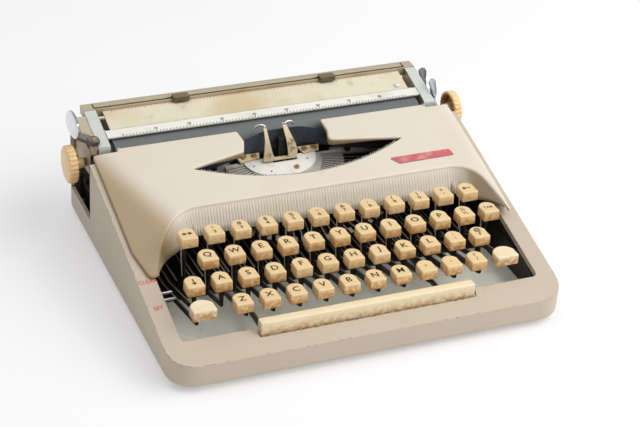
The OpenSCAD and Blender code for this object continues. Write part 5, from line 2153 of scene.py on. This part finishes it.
@dataclass
class Works:
    """Carriage, basket and frame: CAD nodes that keep their shape and get their finish."""

    nodes: dict[str, bpy.types.Object]

    def dress(self) -> None:
        """Gives each CAD node that stays its finish."""
        finishes: dict[str, Finish] = {
            "rubber_feet": FOOT_RUBBER,
            "chassis_frame": BLACK_ENAMEL,
            "keyboard_deck": DECK_ENAMEL,
            "key_pivot_shaft": BRIGHT_STEEL,
            "type_segment": SEGMENT_STEEL,
            "typebars": TYPEBAR_STEEL,
            "ribbon_spool_left": BRIGHT_STEEL,
            "ribbon_spool_right": BRIGHT_STEEL,
            "carriage_frame": ZINC_PLATE,
            "paper_table": TABLE_ENAMEL,
            "platen": PLATEN_RUBBER,
            "feed_roller": FOOT_RUBBER,
            "paper_bail": SCALE_WHITE,
            "margin_stop_left": BROWNED_STEEL,
            "margin_stop_right": BROWNED_STEEL,
            "tab_set_lever": BRIGHT_STEEL,
        }
        for name, finish in finishes.items():
            node = self.nodes[name]
            node.data.materials.clear()
            node.data.materials.append(finish.material())
            LOG.info("%s finished as %s", name, finish.name)


@dataclass(frozen=True)
class Lamp:
    """A square soft light: its name, place and width in millimetres, and its power in watts."""

    name: str
    place: Point
    size: float
    power: float


@dataclass
class Studio:
    """Pale floor, soft light and the camera at the photo's angle."""

    focal_px: float = 1788.2
    photo_w: float = 640.0
    azimuth: float = -24.34
    elevation: float = 31.22
    roll: float = 3.83
    aim: Plan = (-38.1, 97.0)
    distance: float = 1198.1
    floor_glow: float = 0.4
    floor_r: float = 2600.0
    floor_sides: int = 64
    sky_strength: float = 0.4
    lamps: tuple[Lamp, ...] = (
        Lamp("window_light", (1000.0, -600.0, 1150.0), 1700.0, 28.0),
        Lamp("fill_light", (-650.0, 450.0, 1600.0), 1600.0, 8.0),
    )

    def build(self) -> None:
        """Sets the floor, the lights, the world and the camera."""
        floor = Sketch()
        turns = [math.tau * k / self.floor_sides for k in range(self.floor_sides)]
        ring = [(self.floor_r * math.cos(a), self.floor_r * math.sin(a), 0.0) for a in turns]
        floor.add(ring, [tuple(range(self.floor_sides))])
        ground = floor.object("pale_floor", [FLOOR_PAPER])
        ground.location.z = -0.05 * MM
        self._lighten(FLOOR_PAPER.material().node_tree)
        for lamp in self.lamps:
            self._light(lamp)
        world = bpy.data.worlds.new("soft_sky")
        world.use_nodes = True
        sky = world.node_tree.nodes["Background"]
        sky.inputs["Color"].default_value = linear_rgba("#F4F4F8")
        sky.inputs["Strength"].default_value = self.sky_strength
        bpy.context.scene.world = world
        self._camera()
        bpy.context.scene.view_settings.view_transform = "Standard"

    def _lighten(self, tree: bpy.types.NodeTree) -> None:
        """Lets part of the floor read as white paper, also in reflections, over its shaded part.

        Args:
            tree: Node tree of the floor's material.
        """
        mix = add_node(tree, "ShaderNodeMixShader")
        share = add_node(
            tree, "ShaderNodeMath", settings={"operation": "MULTIPLY"}, to={"Value": mix.inputs[0]}
        )
        share.inputs[1].default_value = self.floor_glow
        seen = add_node(tree, "ShaderNodeMath", to={"Value": share.inputs[0]})
        mirrored = add_node(tree, "ShaderNodeMath", to={"Value": seen.inputs[1]})
        rays = {
            "Is Camera Ray": seen.inputs[0],
            "Is Glossy Ray": mirrored.inputs[0],
            "Is Transmission Ray": mirrored.inputs[1],
        }
        add_node(tree, "ShaderNodeLightPath", to=rays)
        tree.links.new(tree.nodes["Principled BSDF"].outputs["BSDF"], mix.inputs[1])
        add_node(tree, "ShaderNodeEmission", to={"Emission": mix.inputs[2]})
        tree.links.new(mix.outputs["Shader"], tree.nodes["Material Output"].inputs["Surface"])

    @staticmethod
    def _light(lamp: Lamp) -> None:
        """Hangs one soft light that looks at the machine's middle.

        Args:
            lamp: The light.
        """
        light = bpy.data.lights.new(lamp.name, "AREA")
        light.shape = "SQUARE"
        light.size = lamp.size * MM
        light.energy = lamp.power
        holder = bpy.data.objects.new(lamp.name, light)
        holder.location = Vector(lamp.place) * MM
        look = Vector((0.0, 0.0, 40.0)) * MM - holder.location
        holder.rotation_euler = look.to_track_quat("-Z", "Y").to_euler()
        bpy.context.scene.collection.objects.link(holder)

    def _camera(self) -> None:
        """Camera fitted to the photo's outline."""
        az, el, ro = (math.radians(v) for v in (self.azimuth, self.elevation, self.roll))
        right = Vector((math.cos(az), math.sin(az), 0.0))
        back = Vector((math.sin(az) * math.cos(el), -math.cos(az) * math.cos(el), math.sin(el)))
        up = back.cross(right)
        right, up = math.cos(ro) * right + math.sin(ro) * up, -math.sin(ro) * right + math.cos(ro) * up
        place = right * self.aim[0] + up * self.aim[1] + back * self.distance
        place.y -= CASE_D / 2
        lens = bpy.data.cameras.new("photo_camera")
        lens.sensor_width = 36.0
        lens.lens = self.focal_px * lens.sensor_width / self.photo_w
        lens.clip_start = 0.05
        lens.clip_end = 20.0
        holder = bpy.data.objects.new("photo_camera", lens)
        basis = Matrix((right, up, back)).transposed()
        holder.matrix_world = Matrix.Translation(place * MM) @ basis.to_4x4()
        bpy.context.scene.collection.objects.link(holder)
        bpy.context.scene.camera = holder


def main() -> None:
    """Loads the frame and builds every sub-assembly in order."""
    logging.basicConfig(level=logging.INFO, format="%(message)s")
    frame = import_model()
    Studio().build()
    case = CaseShell()
    case.build()
    case.dress()
    cover = Cover()
    cover.build()
    cover.dress()
    Keyboard().build()
    SpaceBar().build()
    PlatenKnobs().build()
    InkRibbon().build()
    TypeWorks().build()
    ends = CarriageEnds()
    ends.build()
    ends.dress()
    Works(frame["nodes"]).dress()


if __name__ == "__main__":
    main()
